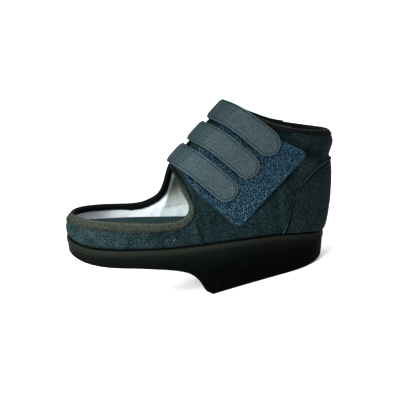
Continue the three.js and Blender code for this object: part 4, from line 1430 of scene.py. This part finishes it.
def strap_webbing_material(name, seam_down, shade):
    """Brushed laminate of a strap: greyer on the tab, more teal from the seam back, with a close nap, a
    painted highlight at its border, painted shade in its stitch groove, and the strap's painted shade over
    all.
    """
    material, tree, shader = plain_material(name, srgb(78, 96, 101), 0.92)
    place = object_place(tree)
    cloth = node(tree, "ShaderNodeUVMap", uv_map="UVMap").outputs["UV"]
    parts = node(tree, "ShaderNodeSeparateXYZ", Vector=cloth)
    past = node(tree, "ShaderNodeMapRange", Value=parts.outputs["X"])
    past.inputs["From Min"].default_value = seam_down - 7.0
    past.inputs["From Max"].default_value = seam_down + 3.0
    fine = noise(tree, place, 0.8, 2.5, 0.75)
    coarse = noise(tree, place, 6.0, 4.0, 0.6)
    tab = ramp(tree, fine, [(0.34, srgb(28, 39, 42)), (0.5, srgb(52, 66, 70)), (0.66, srgb(74, 89, 94))])
    lead = ramp(tree, fine, [(0.34, srgb(14, 27, 29)), (0.5, srgb(34, 51, 53)), (0.66, srgb(52, 71, 73))])
    both = blended(tree, past.outputs["Result"], lead, tab)
    wear_and_painted_light = ramp(tree, coarse, [(0.40, grey(0.0)), (0.68, grey(0.22))])
    wear_and_painted_highlight = blended(tree, wear_and_painted_light, both, srgb(38, 52, 56))
    scaled = node(tree, "ShaderNodeMath", operation="MULTIPLY")
    tree.links.new(stored_value(tree, "border_mm"), scaled.inputs[0])
    scaled.inputs[1].default_value = 0.2
    # Painted highlight along the border and painted shade in the stitch groove, scaled by the strap's
    # painted shade.
    edge = ramp(tree, scaled.outputs[0], [
        (0.00, grey(1.1 * shade)), (0.12, grey(1.6 * shade)), (0.22, grey(shade)),
        (0.34, grey(0.75 * shade)), (0.46, grey(0.75 * shade)), (0.62, grey(shade)),
    ])
    with_painted_edge_light = blended(tree, 1.0, wear_and_painted_highlight, edge, "MULTIPLY")
    tree.links.new(with_painted_edge_light, shader.inputs["Base Color"])
    shader.inputs["Specular IOR Level"].default_value = 0.05
    raise_surface(tree, shader, sum_of(tree, fine, coarse, 1.0, 0.7), 0.28)
    return material


for name, station in strap_stations.items():
    top = over_strap(station, strap_down, strap_across)
    up = strap_up(station, strap_down) + strap_across * strap_half
    low = over_quarter(strap_down, up, strap_base(strap_down))
    strap = make_piece(name + "_webbing", standing(np.stack((top, low))), strap_faces, strap_corner_values)
    laminate = strap_webbing_material(name + "_laminate", tab_seam[name], strap_painted_shade[name])
    strap.data.materials.append(laminate)
    strap_edge = strap_border(strap_down, strap_across)
    point_value(strap, "border_mm", np.stack((strap_edge, strap_edge)))
    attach(strap, "root")
    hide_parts(name)

# Patch pile
# Loops of the landing patch, of fine yarn in two shades of blue, knitted into its backing. The straps' hooks
# close on them, and none grow under a strap, where nothing shows. The yarn has painted shadow along the
# lower edge of each strap, painted light low on the patch and painted shade high on it.
pile_border = 1.0
pile_under_strap = 2.0
pile_sunk = 0.15
# Painted light low on the patch and painted shade high on it.
pile_painted_light_low = 1.28
pile_painted_shade_high = 0.66


def under_a_strap(down, up):
    """Whether a place on the quarter lies well under one of the straps."""
    hidden = np.zeros(np.shape(down), bool)
    for station in strap_stations.values():
        across = (up - strap_up(station, down)) / strap_half
        well_under = strap_border(down, np.clip(across, -1, 1)) > pile_under_strap
        hidden |= well_under & (np.abs(across) < 1) & (down < strap_reach)
    return hidden


def shadow_under_straps(down, up):
    """Painted shadow on the patch: dark along the lower edge of each strap."""
    painted_shading = np.ones(np.shape(down))
    for station in strap_stations.values():
        below = strap_up(station, down) - strap_half - up
        painted_shading *= 1 - 0.8 * np.exp(-((below / 1.9) ** 2)) * smooth((strap_reach - 6.0 - down) / 8.0)
    return painted_shading


loop_tree, start, end = geometry_tree("loop_pile", [
    ("Loops each square metre", "Float"), ("Loop height", "Float"), ("Yarn radius", "Float"),
    ("Seed", "Int"), ("Material", "Material"),
])
scattered = node(
    loop_tree, "GeometryNodeDistributePointsOnFaces",
    Mesh=start.outputs["Geometry"], Density=start.outputs["Loops each square metre"],
    Seed=start.outputs["Seed"],
)
arc = node(
    loop_tree, "GeometryNodeCurveArc",
    Resolution=6, Radius=start.outputs["Loop height"], Sweep_Angle=math.radians(230),
)
yarn = node(
    loop_tree, "GeometryNodeCurvePrimitiveCircle",
    Resolution=3, Radius=start.outputs["Yarn radius"],
)
loop = node(
    loop_tree, "GeometryNodeCurveToMesh",
    Curve=arc.outputs["Curve"], Profile_Curve=yarn.outputs["Curve"], Fill_Caps=True,
)
upright = node(loop_tree, "GeometryNodeTransform", Geometry=loop.outputs["Mesh"])
upright.inputs["Rotation"].default_value = (math.radians(90), math.radians(25), 0.0)
spin = node(loop_tree, "FunctionNodeRandomValue", data_type="FLOAT_VECTOR", Seed=start.outputs["Seed"])
spin.inputs[0].default_value = (-0.7, -0.7, -math.pi)
spin.inputs[1].default_value = (0.7, 0.7, math.pi)
twisted = node(
    loop_tree, "FunctionNodeRotateRotation",
    rotation_space="LOCAL", Rotation=scattered.outputs["Rotation"],
)
loop_tree.links.new(spin.outputs[0], twisted.inputs["Rotate By"])
size = node(loop_tree, "FunctionNodeRandomValue", data_type="FLOAT")
size.inputs[2].default_value = 0.6
size.inputs[3].default_value = 1.25
spread = node(
    loop_tree, "GeometryNodeInstanceOnPoints",
    Points=scattered.outputs["Points"], Instance=upright.outputs["Geometry"],
    Rotation=twisted.outputs["Rotation"], Scale=size.outputs[1],
)
finish_tree(loop_tree, start, end, spread.outputs["Instances"])

loop_yarn, tree, shader = plain_material("loop_yarn", srgb(40, 66, 84), 0.85)
place = object_place(tree)
clumps = noise(tree, place, 1.3, 2.0, 0.6)
single = node(tree, "ShaderNodeTexVoronoi", Vector=place, Scale=1250.0)
single_shade = node(tree, "ShaderNodeSeparateColor", Color=single.outputs["Color"]).outputs[0]
shade = sum_of(tree, clumps, single_shade, 0.4, 0.6)
speckled = ramp(tree, shade, [(0.30, srgb(5, 20, 29)), (0.50, srgb(26, 53, 69)), (0.70, srgb(98, 138, 155))])
# Painted shadow and shade from the stored value.
shadowed_yarn = blended(tree, 1.0, speckled, stored_value(tree, "painted_shading"), "MULTIPLY")
tree.links.new(shadowed_yarn, shader.inputs["Base Color"])
shader.inputs["Specular IOR Level"].default_value = 0.08

down, up = patch_place(row_share, column_share)
shown = ~under_a_strap(down, up)
quads = grid_faces(np.arange(down.size).reshape(down.shape))
inside_border = (patch_border > pile_border).ravel()
quads = [q for q in quads.tolist() if all(shown.ravel()[q]) and all(inside_border[q])]
pile_mesh = bpy.data.meshes.new("pile_ground")
pile_points = standing(over_quarter(down, up, patch_top - pile_sunk))
pile_mesh.from_pydata(pile_points.reshape(-1, 3).tolist(), [], quads)
# Painted shadow along each strap's lower edge, and painted light and shade up the patch.
strap_shadow = shadow_under_straps(down, up)
pile_painted_shading = strap_shadow * mix(pile_painted_light_low, pile_painted_shade_high, up / patch_high)
painted_shading_values = pile_mesh.attributes.new("painted_shading", "FLOAT", "POINT").data
painted_shading_values.foreach_set("value", pile_painted_shading.ravel().astype(np.float32))
# The backing takes the same painted shadow, a little darker over all.
point_value(patch, "painted_shading", 0.8 * np.stack((strap_shadow, strap_shadow)))
pile = grown("loop_patch_pile", pile_mesh, loop_tree, {
    "Loops each square metre": 1.15e6, "Loop height": 0.0006, "Yarn radius": 0.00011, "Seed": 4,
    "Material": loop_yarn,
})
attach(pile, "root")

# Heel counter
# Outer cover of the heel, cut from the upper's fabric with its front edge turned and sewn. The seam climbs
# from the sole to the nip of the collar on both sides.
counter_thickness = 1.2
counter_foot_reach = 0.172 * sole_length
counter_top_reach = 0.163 * sole_length
counter_lift = 0.35
counter_foot_height = 12.0
counter_stitch_inset = 2.9
counter_rows = 56
counter_columns = 90
counter_seam = curve_through([
    (0.000, 0.762), (0.037, 0.735), (0.114, 0.590), (0.140, 0.478), (0.155, 0.375), (0.163, 0.260),
])


def counter_place(round_share, up_share):
    """Point of the last under the counter: round_share goes from -1 on the outer side to 1 on the inner."""
    side = np.where(round_share < 0, -1.0, 1.0)
    turned_in = 1 - np.cos(np.pi / 2 * np.abs(round_share))
    top_inset = counter_top_reach * turned_in
    foot_inset = counter_foot_reach * turned_in
    foot_x = back_x(feather_z(sole_length - foot_inset)) - foot_inset
    foot = feather_z(foot_x) + 2 * clearance
    top = counter_seam(top_inset / sole_length) * heel_height
    z = mix(foot, top, up_share)
    return on_last(side, back_x(z) - mix(foot_inset, top_inset, up_share), z)


def from_heel_core(points):
    """Rough direction outwards at the heel."""
    return (points - (0.8 * sole_length, 0.0, 0.0)) * (1.0, 1.0, 0.0)


def over_counter(round_share, up_share, height):
    """Point at a height over the heel of the last, square to it."""
    return over_surface(counter_place, round_share, up_share, 0.004, height, from_heel_core)


def counter_height(round_share):
    """Height of the counter's seam over its foot."""
    turned_in = 1 - np.cos(np.pi / 2 * np.abs(round_share))
    return counter_seam(counter_top_reach * turned_in / sole_length) * heel_height - counter_foot_height


round_line = np.sin(np.pi / 2 * np.linspace(-1, 1, counter_columns + 1))
up_line = 1 - (1 - np.linspace(0, 1, counter_rows + 1)) ** 1.6
round_share, up_share = np.meshgrid(round_line, up_line, indexing="ij")
seam_height = counter_height(round_share)
to_front = (1 - np.abs(round_share)) * counter_top_reach * 1.5
counter_border = np.minimum((1 - up_share) * seam_height, to_front)
turned_edge = 0.55 * np.exp(-((counter_border - 1.0) / 0.8) ** 2)
sewn_in = 0.85 * np.exp(-((counter_border - counter_stitch_inset) / 0.9) ** 2)
folded = turned_edge - sewn_in
counter_top = patch_lift + counter_thickness * rounded(counter_border, 0.9, 0.35) + folded
tuck = 0.7 * (1 - smooth(up_share * seam_height / 2.4))
counter_grid = np.stack((
    over_counter(round_share, up_share, counter_top - tuck),
    over_counter(round_share, up_share, np.full(round_share.shape, counter_lift)),
))
counter = make_piece("heel_counter_cover", standing(counter_grid), slab_faces(*round_share.shape))
counter.data.materials.append(upper_fabric)
# Painted shade in the stitch groove and a painted highlight on the turned edge, over the panel's painted
# light and shade.
groove_painted_shade = 0.90 * np.exp(-((counter_border - counter_stitch_inset) / 1.2) ** 2)
edge_painted_highlight = 0.90 * np.exp(-((counter_border - 0.8) / 0.8) ** 2)
counter_painted_shading = painted_panel_shading(counter_grid).reshape(counter_grid.shape[:-1]) * (1 - groove_painted_shade + edge_painted_highlight)
point_value(counter, "painted_shading", counter_painted_shading)
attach(counter, "root")
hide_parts("heel_counter")

# Stitching
# Rows of lockstitch in bonded thread, on the strap borders and tab seams, the binding, the patch border,
# the counter seam and the side seams. Each stitch is a short length of thread that sinks in at both ends.
# One fleck of lint lies on the toe rand.
border_places = 60
end_places = 28
seam_places = 12
side_places = 50
counter_places = 140
anchor_seam_inset = 9.0
tab_seam_lean = 1.5
stitch_tree, start, end = geometry_tree("stitch_row", [
    ("Stitch pitch", "Float"), ("Stitch length", "Float"), ("Thread radius", "Float"),
    ("Material", "Material"),
])
row = node(stitch_tree, "GeometryNodeMeshToCurve", Mesh=start.outputs["Geometry"])
holes = node(
    stitch_tree, "GeometryNodeCurveToPoints",
    mode="LENGTH", Curve=row.outputs["Curve"], Length=start.outputs["Stitch pitch"],
)
thread = node(stitch_tree, "GeometryNodeMeshUVSphere", Segments=8, Rings=6, Radius=1.0)
half = node(stitch_tree, "ShaderNodeMath", operation="MULTIPLY")
stitch_tree.links.new(start.outputs["Stitch length"], half.inputs[0])
half.inputs[1].default_value = 0.5
scale = node(
    stitch_tree, "ShaderNodeCombineXYZ",
    X=start.outputs["Thread radius"], Y=start.outputs["Thread radius"], Z=half.outputs[0],
)
shaped = node(
    stitch_tree, "GeometryNodeTransform",
    Geometry=thread.outputs["Mesh"], Scale=scale.outputs[0],
)
lie = node(
    stitch_tree, "FunctionNodeAlignRotationToVector",
    axis="Z", Vector=holes.outputs["Tangent"],
)
sewn = node(
    stitch_tree, "GeometryNodeInstanceOnPoints",
    Points=holes.outputs["Points"], Instance=shaped.outputs["Geometry"],
    Rotation=lie.outputs["Rotation"],
)
finish_tree(stitch_tree, start, end, sewn.outputs["Instances"])


def thread_material(name, colour):
    """Twisted thread, darker in its turns."""
    material, tree, shader = plain_material(name, colour, 0.85)
    shader.inputs["Specular IOR Level"].default_value = 0.04
    twist = noise(tree, object_place(tree), 0.5, 2.0)
    darker = tuple(0.45 * part for part in colour[:3]) + (1.0,)
    tree.links.new(ramp(tree, twist, [(0.35, darker), (0.6, colour)]), shader.inputs["Base Color"])
    raise_surface(tree, shader, twist, 0.1)
    return material


def sew(name, paths, material, pitch, length, radius):
    """Rows of stitches along paths in the last's frame, each an array of points and whether it is closed."""
    points = []
    edges = []
    for path, closed in paths:
        first = len(points)
        points.extend(standing(path).tolist())
        edges.extend((first + i, first + i + 1) for i in range(len(path) - 1))
        if closed:
            edges.append((len(points) - 1, first))
    mesh = bpy.data.meshes.new(name + "_path")
    mesh.from_pydata(points, edges, [])
    stitches = grown(name, mesh, stitch_tree, {
        "Stitch pitch": pitch / 1000, "Stitch length": length / 1000, "Thread radius": radius / 1000,
        "Material": material,
    })
    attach(stitches, "root")


strap_paths = []
inner_half = strap_half - border_stitch
for name, station in strap_stations.items():
    straight_end = strap_reach - strap_half
    along = np.linspace(-strap_anchor_reach + border_stitch, straight_end, border_places)
    angle = np.linspace(np.pi / 2, -np.pi / 2, end_places)[1:-1]
    down = np.concatenate((along, straight_end + inner_half * np.cos(angle), along[::-1]))
    upper_edge = np.full(border_places, inner_half)
    across = np.concatenate((upper_edge, inner_half * np.sin(angle), -upper_edge)) / strap_half
    strap_paths.append((over_strap(station, down, across, 0.1), True))
    across = np.linspace(-inner_half, inner_half, seam_places) / strap_half
    down = tab_seam[name] + across * tab_seam_lean
    strap_paths.append((over_strap(station, down, across, 0.2), False))
    down = np.full(seam_places, -strap_anchor_reach + border_stitch + anchor_seam_inset)
    strap_paths.append((over_strap(station, down, across, 0.1), False))
strap_thread = thread_material("strap_thread", srgb(16, 24, 28))
sew(
    "strap_stitches", strap_paths, strap_thread,
    pitch=2.9, length=1.9, radius=0.32,
)

tape_stitch_line = tape_line(0.22, 1.40, level)
olive_thread = thread_material("binding_thread", srgb(15, 18, 15))
sew(
    "binding_stitches", [(tape_stitch_line, True)], olive_thread,
    pitch=2.8, length=1.9, radius=0.30,
)

inset_row = patch_stitch_inset / (patch_high - patch_low)
inset_column = patch_stitch_inset / (patch_end - patch_start)
run = mix(0.04, 0.96, np.linspace(0.0, 1.0, side_places))
still = np.ones(side_places)
row_path = np.concatenate((still * inset_row, run, still * (1 - inset_row), run[::-1]))
column_path = np.concatenate((run, still * (1 - inset_column), run[::-1], still * inset_column))
down, up = patch_place(row_path, column_path)
patch_thread = thread_material("patch_thread", srgb(52, 80, 96))
patch_path = over_quarter(down, up, np.full(down.shape, patch_lift + patch_thickness - 0.1))
sew(
    "patch_stitches", [(patch_path, True)], patch_thread,
    pitch=2.6, length=1.9, radius=0.22,
)

seam_round = np.linspace(-0.965, 0.965, counter_places)
seam_up = 1 - counter_stitch_inset / counter_height(seam_round)
thread_height = np.full(counter_places, patch_lift + counter_thickness - 0.3)
counter_path = over_counter(seam_round, seam_up, thread_height)
counter_thread = thread_material("counter_thread", srgb(6, 11, 12))
sew(
    "counter_stitches", [(counter_path, False)], counter_thread,
    pitch=2.8, length=2.0, radius=0.26,
)

seam_x, seam_z = knotted(np.array(side_seam) * (sole_length, heel_height), 24).T
side_paths = [(on_last(side, seam_x, seam_z) - (0.0, 0.35 * side, 0.0), False) for side in (-1, 1)]
sew(
    "side_stitches", side_paths, counter_thread,
    pitch=2.0, length=2.4, radius=0.38,
)

fleck_path = on_last(-1, np.array([0.4245, 0.4275]) * sole_length, np.array([0.079, 0.085]) * heel_height)
lint = thread_material("lint", srgb(160, 168, 164))
sew(
    "lint_fleck", [(fleck_path + (0.0, -0.5, 0.0), False)], lint,
    pitch=1.0, length=0.9, radius=0.22,
)
